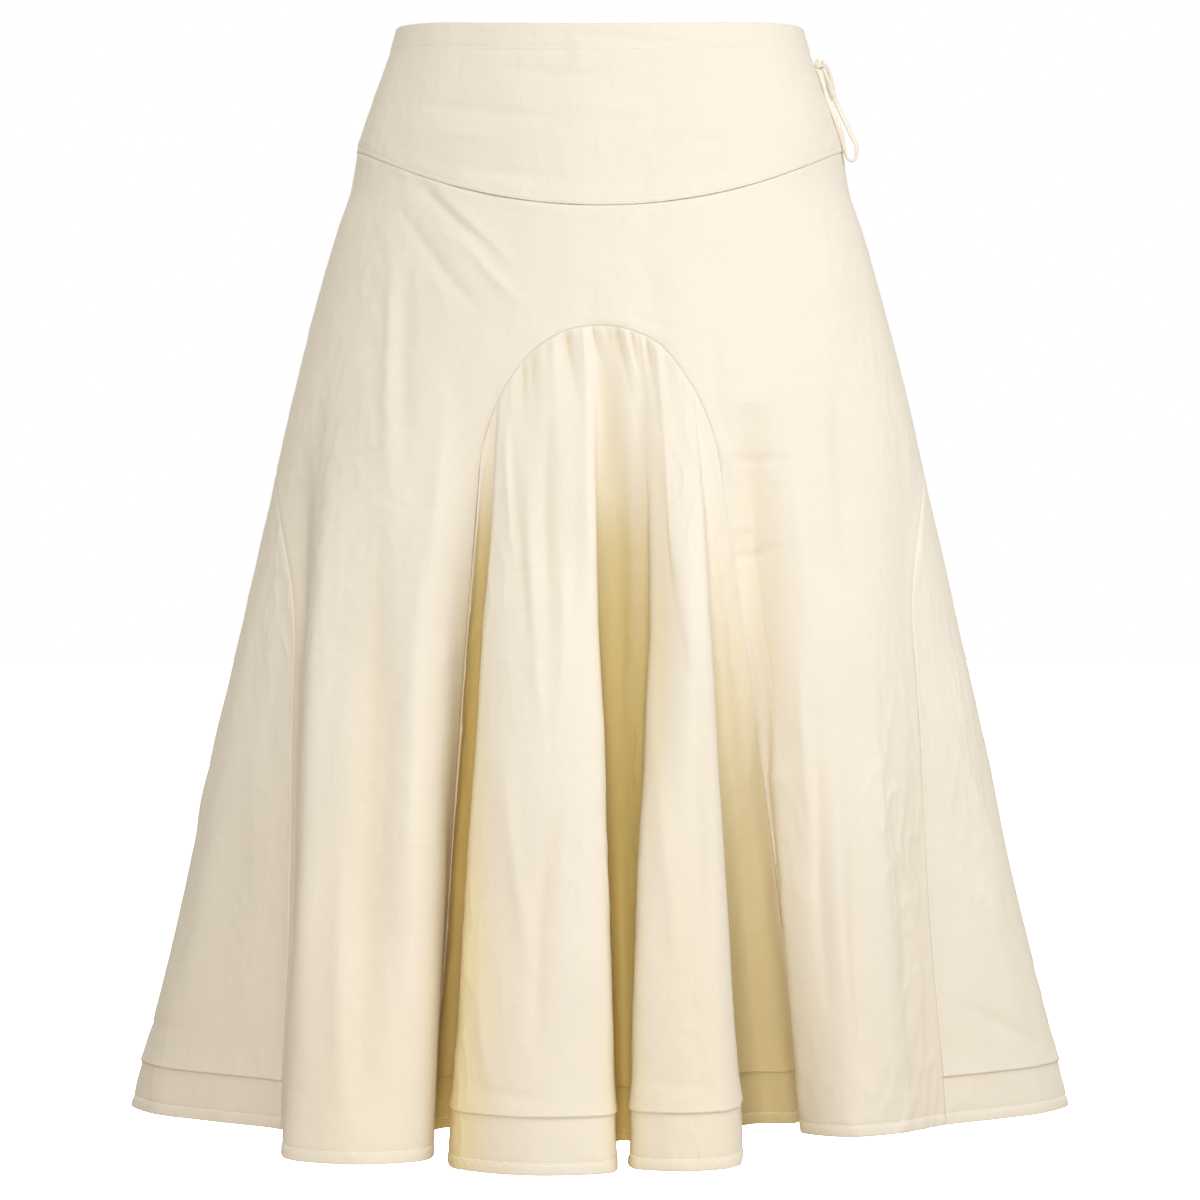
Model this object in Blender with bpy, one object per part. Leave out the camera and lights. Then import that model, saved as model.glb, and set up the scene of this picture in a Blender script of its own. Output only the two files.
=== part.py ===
"""A flared midi skirt of firm cotton, filled out as if worn, in metres with +Z up.

The origin is the middle of the waist opening, where a waist holds the skirt up, and -Y is the front.
Every piece of cloth is cut from one surface, read by an angle around the body and a share of the
drop from the waist to the hem, so the pieces meet along shared seams.
"""

import math

import bmesh
import bpy
import numpy as np

# Driving sizes of the cloth
WALL = 0.0013
SEAM_GAP = 0.0003
TUCK_LIFT = 0.0014
TUCK_RISE = 0.026
TUCK_STEP = 0.0007
GODET_BAND = 0.0345
INSERT_BAND = 0.0310
FOLD_SOFTNESS = 0.12

# Driving sizes of the waist and the yoke's lower seam, as drops below the origin
FRONT_WAIST_DIP = 0.0101
YOKE_SIDE_DROP = 0.084
YOKE_CENTRE_DROP = 0.131

# Sections of the plain, unfolded form: drop, half width at the side, depth in front, depth behind
SECTIONS = (
    (-0.010, 0.1368, 0.0960, 0.0970),
    (0.000, 0.1376, 0.0980, 0.1000),
    (0.014, 0.1412, 0.1010, 0.1050),
    (0.049, 0.1535, 0.1085, 0.1165),
    (0.080, 0.1632, 0.1145, 0.1265),
    (0.110, 0.1682, 0.1185, 0.1325),
    (0.138, 0.1775, 0.1240, 0.1385),
    (0.200, 0.1955, 0.1380, 0.1510),
    (0.320, 0.2232, 0.1600, 0.1735),
    (0.480, 0.2598, 0.1800, 0.2000),
    (0.600, 0.2850, 0.1910, 0.2180),
    (0.700, 0.3095, 0.1980, 0.2310),
    (0.745, 0.3195, 0.2010, 0.2370),
)

# Ridges, valleys and seams of the hem, in order around it from the wearer's right side.
# Name, angle, angle to its shoulders, x, depth towards the front, half width, fall of the shoulder
# before it and of the one after it (below zero where the shoulders stand proud of a valley),
# drop of the hem there, drop where the fold begins.
HEM_TURNS = (
    ("right side", -90.0, 0.0, -0.3170, 0.0000, 0.000, 0.000, 0.000, 0.7304, 0.250),
    ("right insert", -80.0, 0.0, -0.2990, 0.0440, 0.000, 0.000, 0.000, 0.7304, 0.250),
    ("right insert front", -74.0, 0.0, -0.2560, 0.0820, 0.000, 0.000, 0.000, 0.7304, 0.250),
    ("right insert seam", -68.0, 0.0, -0.2065, 0.1210, 0.000, 0.000, 0.000, 0.7304, 0.240),
    ("right panel ridge", -45.0, 10.5, -0.1485, 0.2620, 0.035, 0.013, 0.012, 0.7325, 0.200),
    ("right arch seam", -20.7, 0.0, -0.1090, 0.1580, 0.000, 0.000, 0.000, 0.7300, 0.190),
    ("right valley", -19.2, 0.7, -0.0930, 0.1200, 0.011, -0.008, -0.010, 0.7288, 0.190),
    ("first fold", -9.8, 7.6, -0.0425, 0.2700, 0.047, 0.030, 0.010, 0.7380, 0.190),
    ("middle valley", 3.2, 3.2, 0.0150, 0.1640, 0.010, -0.013, -0.013, 0.7313, 0.190),
    ("second fold", 12.8, 3.8, 0.0500, 0.2650, 0.0255, 0.008, 0.009, 0.7362, 0.190),
    ("left valley", 17.8, 0.9, 0.1070, 0.1000, 0.018, -0.014, -0.002, 0.7290, 0.200),
    ("left arch seam", 20.2, 0.0, 0.1370, 0.0950, 0.000, 0.000, 0.000, 0.7240, 0.210),
    ("left panel ridge", 38.5, 11.0, 0.1600, 0.1560, 0.029, 0.019, 0.014, 0.7304, 0.230),
    ("left insert seam", 68.0, 0.0, 0.2264, 0.0990, 0.000, 0.000, 0.000, 0.7304, 0.240),
    ("left insert front", 74.0, 0.0, 0.2620, 0.0720, 0.000, 0.000, 0.000, 0.7304, 0.250),
    ("left insert", 80.0, 0.0, 0.2990, 0.0380, 0.000, 0.000, 0.000, 0.7304, 0.250),
    ("left side", 90.0, 0.0, 0.3170, 0.0000, 0.000, 0.000, 0.000, 0.7304, 0.250),
    ("left insert behind", 100.0, 0.0, 0.2990, -0.0430, 0.000, 0.000, 0.000, 0.7304, 0.250),
    ("left insert back", 106.0, 0.0, 0.2610, -0.0850, 0.000, 0.000, 0.000, 0.7304, 0.250),
    ("left back seam", 112.0, 0.0, 0.2210, -0.1260, 0.000, 0.000, 0.000, 0.7304, 0.240),
    ("first back ridge", 127.0, 7.0, 0.1790, -0.2360, 0.032, 0.020, 0.018, 0.7340, 0.200),
    ("first back valley", 142.0, 4.5, 0.1180, -0.1800, 0.017, -0.010, -0.012, 0.7300, 0.200),
    ("second back ridge", 158.0, 7.5, 0.0680, -0.2740, 0.034, 0.018, 0.020, 0.7350, 0.190),
    ("second back valley", 174.0, 4.5, 0.0080, -0.1990, 0.016, -0.012, -0.012, 0.7305, 0.190),
    ("third back ridge", 190.0, 7.5, -0.0540, -0.2790, 0.036, 0.020, 0.018, 0.7352, 0.190),
    ("third back valley", 206.5, 4.5, -0.1130, -0.1880, 0.017, -0.012, -0.010, 0.7300, 0.200),
    ("fourth back ridge", 225.0, 8.0, -0.1720, -0.2480, 0.035, 0.017, 0.022, 0.7342, 0.200),
    ("right back seam", 248.0, 0.0, -0.2170, -0.1310, 0.000, 0.000, 0.000, 0.7304, 0.240),
    ("right insert back", 254.0, 0.0, -0.2580, -0.0880, 0.000, 0.000, 0.000, 0.7304, 0.250),
    ("right insert behind", 260.0, 0.0, -0.2990, -0.0440, 0.000, 0.000, 0.000, 0.7304, 0.250),
)

# Arched seams: middle angle, half angle, drop of the top, height of the rounded part, fullness
GODET_ARCH = (-0.25, 20.45, 0.2102, 0.095, 2.2)
RIGHT_ARCH = (-90.0, 22.0, 0.298, 0.120, 2.0)
LEFT_ARCH = (90.0, 22.0, 0.298, 0.120, 2.0)

# Small gathers under the top of the godet's arch
GATHER_COUNT = 9
GATHER_SPAN = 0.74
GATHER_HEIGHT = 0.0022
GATHER_FADE = 0.045
GATHER_EDGE = 6

# Cells of the cloth
GODET_COLUMNS = 52
GODET_ROWS = 11
INSERT_COLUMNS = 14
INSERT_ROWS = 7
SIDE_SEAM_CELLS = 4
YOKE_ROWS = 3
BACK_COLUMNS = 38
PANEL_CELLS = 12
LINE_SAMPLES = 60
TURN_WEIGHT = 0.035
HEM_WEIGHT = 2 / 3
ROW_CROWDING = 1.25
MITRE_LIMIT = 0.5
SHARP_ANGLE = 50.0
NEAR_ANGLE = 0.05
NEAR_SHARE = 0.0005

# Tie of narrow rouleau at the wearer's left side of the yoke: x, depth towards the front, drop
TIE_DIAMETER = 0.0029
TIE_STEP = 1.3
KNOT_PLACE = (0.1477, 0.0120, 0.0242)
KNOT_SIZE = (0.0046, 0.0058, 0.0066)
LONG_LOOP = (
    (0.1482, 0.0132, 0.0286),
    (0.1502, 0.0158, 0.0351),
    (0.1519, 0.0185, 0.0422),
    (0.1542, 0.0195, 0.0500),
    (0.1567, 0.0200, 0.0561),
    (0.1601, 0.0200, 0.0644),
    (0.1633, 0.0195, 0.0735),
    (0.1649, 0.0190, 0.0819),
    (0.1668, 0.0185, 0.0883),
    (0.1700, 0.0180, 0.0906),
    (0.1729, 0.0175, 0.0877),
    (0.1734, 0.0170, 0.0815),
    (0.1698, 0.0170, 0.0725),
    (0.1659, 0.0168, 0.0642),
    (0.1621, 0.0165, 0.0559),
    (0.1590, 0.0158, 0.0490),
    (0.1560, 0.0146, 0.0412),
    (0.1534, 0.0130, 0.0338),
    (0.1507, 0.0115, 0.0274),
)
SHORT_LOOP = (
    (0.1508, 0.0110, 0.0230),
    (0.1526, 0.0096, 0.0241),
    (0.1544, 0.0080, 0.0270),
    (0.1563, 0.0062, 0.0315),
    (0.1577, 0.0052, 0.0382),
    (0.1583, 0.0042, 0.0435),
    (0.1573, 0.0026, 0.0467),
    (0.1558, 0.0014, 0.0431),
    (0.1543, 0.0012, 0.0363),
    (0.1525, 0.0026, 0.0305),
    (0.1512, 0.0056, 0.0276),
    (0.1502, 0.0078, 0.0265),
)

CLOTH_COLOUR = (0.93, 0.85, 0.70, 1.0)
CLOTH_ROUGHNESS = 0.85


def monotone(keys, values, at):
    """Smooth values between the keys of a table, with no overshoot."""
    keys, values = np.asarray(keys, float), np.asarray(values, float)
    steps = np.diff(keys)
    slopes = np.diff(values) / steps
    tangents = np.zeros(len(keys))
    tangents[0], tangents[-1] = slopes[0], slopes[-1]
    before, after = slopes[:-1], slopes[1:]
    same_way = before * after > 0
    near, far = 2 * steps[1:] + steps[:-1], steps[1:] + 2 * steps[:-1]
    with np.errstate(divide="ignore", invalid="ignore"):
        mean = (near + far) / (near / before + far / after)
    tangents[1:-1] = np.where(same_way, mean, 0.0)
    return hermite(keys, values, tangents, at)


def hermite(keys, values, tangents, at):
    """A cubic through the keys with the given tangents."""
    cell = np.clip(np.searchsorted(keys, at, side="right") - 1, 0, len(keys) - 2)
    width = keys[cell + 1] - keys[cell]
    t = (at - keys[cell]) / width
    return (
        values[cell] * (1 + 2 * t) * (1 - t) ** 2
        + values[cell + 1] * t * t * (3 - 2 * t)
        + width * (tangents[cell] * t * (1 - t) ** 2 - tangents[cell + 1] * t * t * (1 - t))
    )


def hem_points():
    """The points that the hem runs through: angle, x, depth, hem drop and fold's start."""
    points = []
    for name, angle, spread, x, depth, half, before, after, drop, start in HEM_TURNS:
        outward = 1.0 if depth >= 0 else -1.0
        if spread:
            points.append((angle - spread, x - outward * half, depth - outward * before, drop, start))
        points.append((angle, x, depth, drop, start))
        if spread:
            points.append((angle + spread, x + outward * half, depth - outward * after, drop, start))
    return np.array(points)


def go_round(points, turns=2):
    """Repeat the closed row of points before and after itself, so that it can be read anywhere."""
    copies = []
    for turn in range(-turns, turns + 1):
        copy = points.copy()
        copy[:, 0] += 360.0 * turn
        copies.append(copy)
    return np.concatenate(copies)


HEM = go_round(hem_points())
HEM_RUN = np.concatenate([[0], np.cumsum(np.hypot(np.diff(HEM[:, 1]), np.diff(HEM[:, 2])))])


def along_hem(column, run):
    """x or depth of the hem's line at a length along it."""
    values, steps = HEM[:, column], np.diff(HEM_RUN)
    slopes = np.diff(values) / steps
    tangents = np.zeros(len(values))
    tangents[1:-1] = (slopes[1:] * steps[:-1] + slopes[:-1] * steps[1:]) / (steps[:-1] + steps[1:])
    return hermite(HEM_RUN, values, tangents, run)


def hem_drop(angle):
    """Drop of the hem at an angle around the body."""
    return monotone(HEM[:, 0], HEM[:, 3], np.asarray(angle, float))


def plain_form(angle, drop):
    """x and depth of the form without folds."""
    table = np.array(SECTIONS)
    half_width = monotone(table[:, 0], table[:, 1], drop)
    front = monotone(table[:, 0], table[:, 2], drop)
    back = monotone(table[:, 0], table[:, 3], drop)
    turn = np.radians(angle)
    depth = np.where(np.cos(turn) >= 0, front, back)
    return half_width * np.sin(turn), depth * np.cos(turn)


def soft_start(share):
    """Growth of a fold down its length, gentle where it begins and straight from there on."""
    soft = FOLD_SOFTNESS
    return (share - soft * (1 - np.exp(-share / soft))) / (1 - soft * (1 - np.exp(-1 / soft)))


def surface(angle, share):
    """Points of the cloth's middle at an angle and a share of the drop to the hem."""
    angle, share = np.broadcast_arrays(np.asarray(angle, float), np.asarray(share, float))
    lowest = hem_drop(angle)
    drop = share * lowest
    x, depth = plain_form(angle, drop)
    hem_x, hem_depth = plain_form(angle, lowest)
    run = monotone(HEM[:, 0], HEM_RUN, angle)
    start = monotone(HEM[:, 0], HEM[:, 4], angle)
    grown = soft_start(np.clip((drop - start) / (lowest - start), 0.0, None))
    x = x + grown * (along_hem(1, run) - hem_x)
    depth = depth + grown * (along_hem(2, run) - hem_depth)
    return np.stack([x, -depth, -drop], axis=-1)


def outward(angle, share):
    """Directions that point out of the cloth."""
    across = surface(angle + NEAR_ANGLE, share) - surface(angle - NEAR_ANGLE, share)
    down = surface(angle, share + NEAR_SHARE) - surface(angle, share - NEAR_SHARE)
    normal = np.cross(down, across)
    return normal / np.linalg.norm(normal, axis=-1, keepdims=True)


def waist_share(angle):
    """Share of the drop at the waist's edge, which dips in front."""
    front = np.clip(np.cos(np.radians(angle)), 0, 1)
    return FRONT_WAIST_DIP * front**2 / hem_drop(angle)


def yoke_share(angle):
    """Share of the drop at the yoke's lower seam, lowest at the middle of front and back."""
    middle = np.cos(np.radians(angle)) ** 2
    return (YOKE_SIDE_DROP + (YOKE_CENTRE_DROP - YOKE_SIDE_DROP) * middle) / hem_drop(angle)


def arch_share(arch, angle):
    """Share of the drop at an arched seam."""
    middle, half, top, cap, fullness = arch
    across = np.clip(np.abs(angle - middle) / half, 0, 1)
    return (top + cap * (1 - np.sqrt(1 - across**fullness))) / hem_drop(angle)


def even_places(points, count):
    """Shares along a line that put its points evenly, and closer together where it bends."""
    steps = np.diff(points, axis=0)
    lengths = np.linalg.norm(steps, axis=1)
    ways = steps / lengths[:, None]
    turning = np.arccos(np.clip(np.sum(ways[1:] * ways[:-1], axis=1), -1, 1))
    weight = lengths.copy()
    weight[1:] += TURN_WEIGHT * turning
    run = np.concatenate([[0], np.cumsum(weight)])
    shares = np.linspace(0, 1, len(points))
    return np.interp(np.linspace(0, run[-1], count + 1), run, shares)


def arch_angles(arch, columns):
    """Angles of an arched piece's columns, with one at the top of the arch."""
    middle, half = arch[0], arch[1]
    sides = []
    for low, high in ((middle - half, middle), (middle, middle + half)):
        line = np.linspace(low, high, 4 * LINE_SAMPLES)
        at_hem = even_places(surface(line, 1.0), columns // 2)
        at_top = even_places(surface(line, arch_share(arch, line)), columns // 2)
        places = HEM_WEIGHT * at_hem + (1 - HEM_WEIGHT) * at_top
        sides.append(low + (high - low) * places)
    return np.concatenate([sides[0], sides[1][1:]])


def arch_rows(rows):
    """Shares of the way from the arch to the tuck, closer together at the top."""
    return np.linspace(0, 1, rows + 1) ** ROW_CROWDING


def arch_grid(arch, columns, rows, band):
    """Angles and shares of an arched piece, whose last two rows lie under its tuck."""
    angles = arch_angles(arch, columns)
    top = arch_share(arch, angles)
    tuck = 1 - band / hem_drop(angles)
    under = tuck + TUCK_STEP / hem_drop(angles)
    shares = [top + (tuck - top) * part for part in arch_rows(rows)]
    shares += [under, np.ones(len(angles))]
    shares = np.array(shares)
    return np.broadcast_to(angles, shares.shape).copy(), shares


def tuck_lift(shares, angles, band):
    """How far the tuck holds the cloth out, none at the seams."""
    above = (1 - shares) * hem_drop(angles) - band
    lift = TUCK_LIFT * np.clip(1 - above / TUCK_RISE, 0, 1) ** 2
    lift[above < -TUCK_STEP / 2] = 0
    lift[:, [0, -1]] = 0
    return lift


def gather_lift(angles, shares):
    """Small gathers just under the top of the arch, which fade out down the godet."""
    middle, half = GODET_ARCH[0], GODET_ARCH[1]
    across = (angles - middle) / half
    below = (shares - arch_share(GODET_ARCH, angles)) * hem_drop(angles)
    wave = 0.5 - 0.5 * np.cos(math.pi * GATHER_COUNT * (across / GATHER_SPAN + 1))
    inside = np.clip(1 - (np.abs(across) / GATHER_SPAN) ** GATHER_EDGE, 0, 1)
    rise = below / GATHER_FADE
    return GATHER_HEIGHT * wave * inside * rise * np.exp(1 - rise)


def seam_of(arch, columns, rows, band, side):
    """Angles and shares along one side of an arched seam, from the hem up to the top of its arch."""
    angles, shares = arch_grid(arch, columns, rows, band)
    half = columns // 2
    column = -1 if side > 0 else 0
    leg = np.concatenate([shares[-1:, column], shares[-3::-1, column]])
    cap_angles = angles[0, half:-1][::-1] if side > 0 else angles[0, 1 : half + 1]
    cap_shares = shares[0, half:-1][::-1] if side > 0 else shares[0, 1 : half + 1]
    leg_angles = np.full(len(leg), angles[0, column])
    return np.concatenate([leg_angles, cap_angles]), np.concatenate([leg, cap_shares])


def side_seam(angle, top_share, bottom_share):
    """Angles and shares up a plain side seam, without its two ends."""
    shares = np.linspace(bottom_share, top_share, SIDE_SEAM_CELLS + 1)[1:-1]
    return np.full(len(shares), angle), shares


def front_panel_grid():
    """Angles and shares of the front panel, in lines from the arch out to its other seams."""
    left = seam_of(GODET_ARCH, GODET_COLUMNS, GODET_ROWS, GODET_BAND, -1)
    right = seam_of(GODET_ARCH, GODET_COLUMNS, GODET_ROWS, GODET_BAND, 1)
    inner = [np.concatenate([a, b[::-1][1:]]) for a, b in zip(left, right)]
    far_right = seam_of(RIGHT_ARCH, INSERT_COLUMNS, INSERT_ROWS, INSERT_BAND, 1)
    far_left = seam_of(LEFT_ARCH, INSERT_COLUMNS, INSERT_ROWS, INSERT_BAND, -1)
    cells = len(inner[0]) - 1 - 2 * (len(far_left[0]) - 1 + SIDE_SEAM_CELLS)
    yoke_angles = front_yoke_angles(cells)
    up = side_seam(-90.0, yoke_share(-90.0), far_right[1][-1])
    down = [v[::-1] for v in side_seam(90.0, yoke_share(90.0), far_left[1][-1])]
    outer_angles = [far_right[0], up[0], yoke_angles, down[0], far_left[0][::-1]]
    outer_shares = [far_right[1], up[1], yoke_share(yoke_angles), down[1], far_left[1][::-1]]
    outer = [np.concatenate(outer_angles), np.concatenate(outer_shares)]
    angles, shares = [], []
    for a0, s0, a1, s1 in zip(inner[0], inner[1], outer[0], outer[1]):
        line = np.linspace(0, 1, LINE_SAMPLES)
        places = even_places(surface(a0 + (a1 - a0) * line, s0 + (s1 - s0) * line), PANEL_CELLS)
        angles.append(a0 + (a1 - a0) * places)
        shares.append(s0 + (s1 - s0) * places)
    return np.array(angles), np.array(shares)


def front_yoke_angles(cells):
    """Angles of the front yoke's columns."""
    return np.linspace(-90.0, 90.0, cells + 1)


def front_yoke_cells():
    """Columns of the front yoke, so that its seam shares its points with the front panel."""
    inner = 2 * (GODET_COLUMNS // 2 + GODET_ROWS + 1)
    side = INSERT_COLUMNS // 2 + INSERT_ROWS + 1 + SIDE_SEAM_CELLS
    return inner - 2 * side


def yoke_grid(angles):
    """Angles and shares of a yoke between the waist and its lower seam."""
    top, bottom = waist_share(angles), yoke_share(angles)
    shares = np.array([top + (bottom - top) * part for part in np.linspace(0, 1, YOKE_ROWS + 1)])
    return np.broadcast_to(angles, shares.shape).copy(), shares


def back_angles():
    """Angles of the back yoke's columns, closer together where the folds under it bend."""
    line = np.linspace(90.0, 270.0, 8 * LINE_SAMPLES)
    at_hem = even_places(surface(line, 1.0), BACK_COLUMNS)
    at_yoke = even_places(surface(line, yoke_share(line)), BACK_COLUMNS)
    return 90.0 + 180.0 * (at_hem + at_yoke) / 2


def back_panel_grid():
    """Angles and shares of the back panel, in rows between its two sides."""
    sides = []
    for arch, side, angle in ((LEFT_ARCH, 1, 90.0), (RIGHT_ARCH, -1, -90.0)):
        seam = seam_of(arch, INSERT_COLUMNS, INSERT_ROWS, INSERT_BAND, side)
        plain = side_seam(angle, yoke_share(angle), seam[1][-1])
        angles = np.concatenate([seam[0], plain[0], [angle]])[::-1]
        shares = np.concatenate([seam[1], plain[1], [yoke_share(angle)]])[::-1]
        sides.append((angles if angle > 0 else angles + 360.0, shares))
    top_angles = back_angles()
    across = (top_angles - 90.0) / 180.0
    angles, shares = [], []
    for a0, s0, a1, s1 in zip(*sides[0], *sides[1]):
        row_angles = a0 + (a1 - a0) * across
        down = (s0 - sides[0][1][0]) / (1 - sides[0][1][0])
        row_shares = (1 - down) * yoke_share(top_angles) + down
        row_shares[0], row_shares[-1] = s0, s1
        angles.append(row_angles)
        shares.append(row_shares)
    return np.array(angles), np.array(shares)


def open_seams(points, normals):
    """Draw the edge of a grid of points in by half the gap between pieces."""
    rows, columns = points.shape[:2]
    loop = [(0, c) for c in range(columns)]
    loop += [(r, columns - 1) for r in range(1, rows)]
    loop += [(rows - 1, c) for c in range(columns - 2, -1, -1)]
    loop += [(r, 0) for r in range(rows - 2, 0, -1)]
    edge = np.array([points[place] for place in loop])
    up = np.array([normals[place] for place in loop])
    after = np.cross(np.roll(edge, -1, axis=0) - edge, up)
    after /= np.linalg.norm(after, axis=1, keepdims=True)
    before = np.roll(after, 1, axis=0)
    both = 1 + np.sum(before * after, axis=1, keepdims=True)
    shifts = (before + after) / np.maximum(both, MITRE_LIMIT)
    moved = points.copy()
    for place, shift in zip(loop, shifts):
        moved[place] += shift * SEAM_GAP / 2
    return moved


def fabric():
    """The cotton's material, one for each piece."""
    material = bpy.data.materials.new("cream_cotton")
    material.use_nodes = True
    shader = material.node_tree.nodes["Principled BSDF"]
    shader.inputs["Base Color"].default_value = CLOTH_COLOUR
    shader.inputs["Roughness"].default_value = CLOTH_ROUGHNESS
    material.diffuse_color = CLOTH_COLOUR
    return material


def cloth_wall(name, grid, collection, lift=None):
    """A wall of cloth over a grid of angles and shares, with its edges drawn in from the seams."""
    angles, shares = grid
    normals = outward(angles, shares)
    points = open_seams(surface(angles, shares), normals)
    if lift is not None:
        points = points + normals * lift[..., None]
    rows, columns = angles.shape
    bm = bmesh.new()
    out = bm.verts.layers.float_vector.new("out")
    bmesh.ops.create_grid(bm, x_segments=columns - 1, y_segments=rows - 1, size=0.5)
    for vert in bm.verts:
        place = (round((vert.co.y + 0.5) * (rows - 1)), round((vert.co.x + 0.5) * (columns - 1)))
        vert[out] = normals[place]
        vert.co = points[place] + normals[place] * WALL / 2
    inner = bmesh.ops.extrude_face_region(bm, geom=bm.faces[:], use_keep_orig=True)["geom"]
    for vert in [item for item in inner if isinstance(item, bmesh.types.BMVert)]:
        vert.co -= vert[out] * WALL
    bmesh.ops.recalc_face_normals(bm, faces=bm.faces[:])
    add_piece(name, bm, collection)


def add_piece(name, bm, collection):
    """Put a finished mesh in the skirt's collection as one named piece."""
    mesh = bpy.data.meshes.new(name)
    bm.to_mesh(mesh)
    bm.free()
    mesh.materials.append(fabric())
    mesh.shade_smooth()
    mesh.set_sharp_from_angle(angle=math.radians(SHARP_ANGLE))
    collection.objects.link(bpy.data.objects.new(name, mesh))


def smooth_route(points, step):
    """Points read from a smooth curve through a route's own points."""
    route = np.array([(x, -depth, -drop) for x, depth, drop in points])
    run = np.concatenate([[0], np.cumsum(np.linalg.norm(np.diff(route, axis=0), axis=1))])
    places = np.linspace(0, run[-1], round(run[-1] / step) + 1)
    return np.stack([monotone(run, route[:, axis], places) for axis in range(3)], axis=1)


def tie_strand(name, route, collection):
    """A length of rouleau as a tube along its route."""
    points = smooth_route(route, TIE_STEP * TIE_DIAMETER)
    curve = bpy.data.curves.new(name, "CURVE")
    curve.dimensions = "3D"
    curve.bevel_depth = TIE_DIAMETER / 2
    curve.bevel_resolution = 2
    curve.use_fill_caps = True
    spline = curve.splines.new("POLY")
    spline.points.add(len(points) - 1)
    for spot, point in zip(spline.points, points):
        spot.co = (*point, 1.0)
    curve.materials.append(fabric())
    collection.objects.link(bpy.data.objects.new(name, curve))


def tie_knot(collection):
    """The small knot that the loops hang from, at the side seam."""
    x, depth, drop = KNOT_PLACE
    bm = bmesh.new()
    bmesh.ops.create_uvsphere(bm, u_segments=12, v_segments=8, radius=1.0)
    bmesh.ops.scale(bm, vec=[size / 2 for size in KNOT_SIZE], verts=bm.verts[:])
    bmesh.ops.translate(bm, vec=(x, -depth, -drop), verts=bm.verts[:])
    add_piece("tie_knot", bm, collection)


def skirt():
    """Make every piece of the skirt."""
    for old in list(bpy.data.objects):
        bpy.data.objects.remove(old, do_unlink=True)
    collection = bpy.data.collections.new("midi_skirt")
    bpy.context.scene.collection.children.link(collection)
    cloth_wall("front_yoke", yoke_grid(front_yoke_angles(front_yoke_cells())), collection)
    cloth_wall("back_yoke", yoke_grid(back_angles()), collection)
    cloth_wall("front_panel", front_panel_grid(), collection)
    cloth_wall("back_panel", back_panel_grid(), collection)
    godet = arch_grid(GODET_ARCH, GODET_COLUMNS, GODET_ROWS, GODET_BAND)
    lift = tuck_lift(godet[1], godet[0], GODET_BAND) + gather_lift(*godet)
    cloth_wall("front_godet", godet, collection, lift)
    for name, arch in (("right_insert", RIGHT_ARCH), ("left_insert", LEFT_ARCH)):
        insert = arch_grid(arch, INSERT_COLUMNS, INSERT_ROWS, INSERT_BAND)
        cloth_wall(name, insert, collection, tuck_lift(insert[1], insert[0], INSERT_BAND))
    tie_strand("tie_long_loop", LONG_LOOP, collection)
    tie_strand("tie_short_loop", SHORT_LOOP, collection)
    tie_knot(collection)


skirt()
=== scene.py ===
import math

import bmesh
import bpy
import numpy as np
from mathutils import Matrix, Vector, noise


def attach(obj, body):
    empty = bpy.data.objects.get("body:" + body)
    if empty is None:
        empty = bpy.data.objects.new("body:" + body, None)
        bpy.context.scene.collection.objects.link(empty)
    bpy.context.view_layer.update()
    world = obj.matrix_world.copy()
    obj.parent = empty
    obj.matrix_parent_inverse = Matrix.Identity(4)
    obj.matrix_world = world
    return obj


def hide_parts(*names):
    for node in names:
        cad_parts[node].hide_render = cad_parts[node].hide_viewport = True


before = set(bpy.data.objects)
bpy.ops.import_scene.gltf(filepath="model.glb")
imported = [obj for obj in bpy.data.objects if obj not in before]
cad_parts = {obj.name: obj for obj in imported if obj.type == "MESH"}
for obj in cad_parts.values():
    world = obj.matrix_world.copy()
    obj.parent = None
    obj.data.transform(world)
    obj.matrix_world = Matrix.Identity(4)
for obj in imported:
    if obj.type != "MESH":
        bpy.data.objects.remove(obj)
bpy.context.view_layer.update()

# The studio: a pale floor below the hanging skirt, soft light all round from pale walls, a narrow
# softbox in front that reaches into the folds, and others above it, at its two sides and behind.
# The camera looks level at the middle of the skirt, as in the photograph.
CAMERA_PLACE = (0.0, -2.6, -0.387)
CAMERA_LENS = 114.7
FLOOR_LEVEL = -0.90
FLOOR_REACH = 30.0
ROOM_LEFT = (1.0, 0.93, 0.80, 1.0)
ROOM_RIGHT = (1.0, 0.985, 0.95, 1.0)
ROOM_STRENGTH = 0.53
FLOOR_COLOUR = (0.42, 0.37, 0.28, 1.0)
FLOOR_GLOW = (3.2, 3.25, 3.4, 1.0)
SOFTBOXES = (
    # name, place, width, height, power in watts
    ("front_softbox", (-0.07, -1.90, -0.44), 0.24, 0.70, 10.7),
    ("top_softbox", (0.30, -1.00, 1.05), 0.70, 0.50, 5.4),
    ("side_softbox", (1.75, -0.70, 0.05), 0.80, 1.20, 11.0),
    ("left_softbox", (-1.90, -0.80, 0.30), 0.90, 1.00, 4.4),
    ("back_softbox", (-0.60, 2.20, 0.30), 1.00, 1.00, 24.0),
)

camera_data = bpy.data.cameras.new("camera")
camera_data.lens = CAMERA_LENS
camera_data.clip_end = 100.0
camera = bpy.data.objects.new("camera", camera_data)
camera.location = CAMERA_PLACE
camera.rotation_euler = (math.radians(90), 0, 0)
bpy.context.scene.collection.objects.link(camera)
bpy.context.scene.camera = camera
bpy.context.scene.view_settings.view_transform = "Standard"

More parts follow.
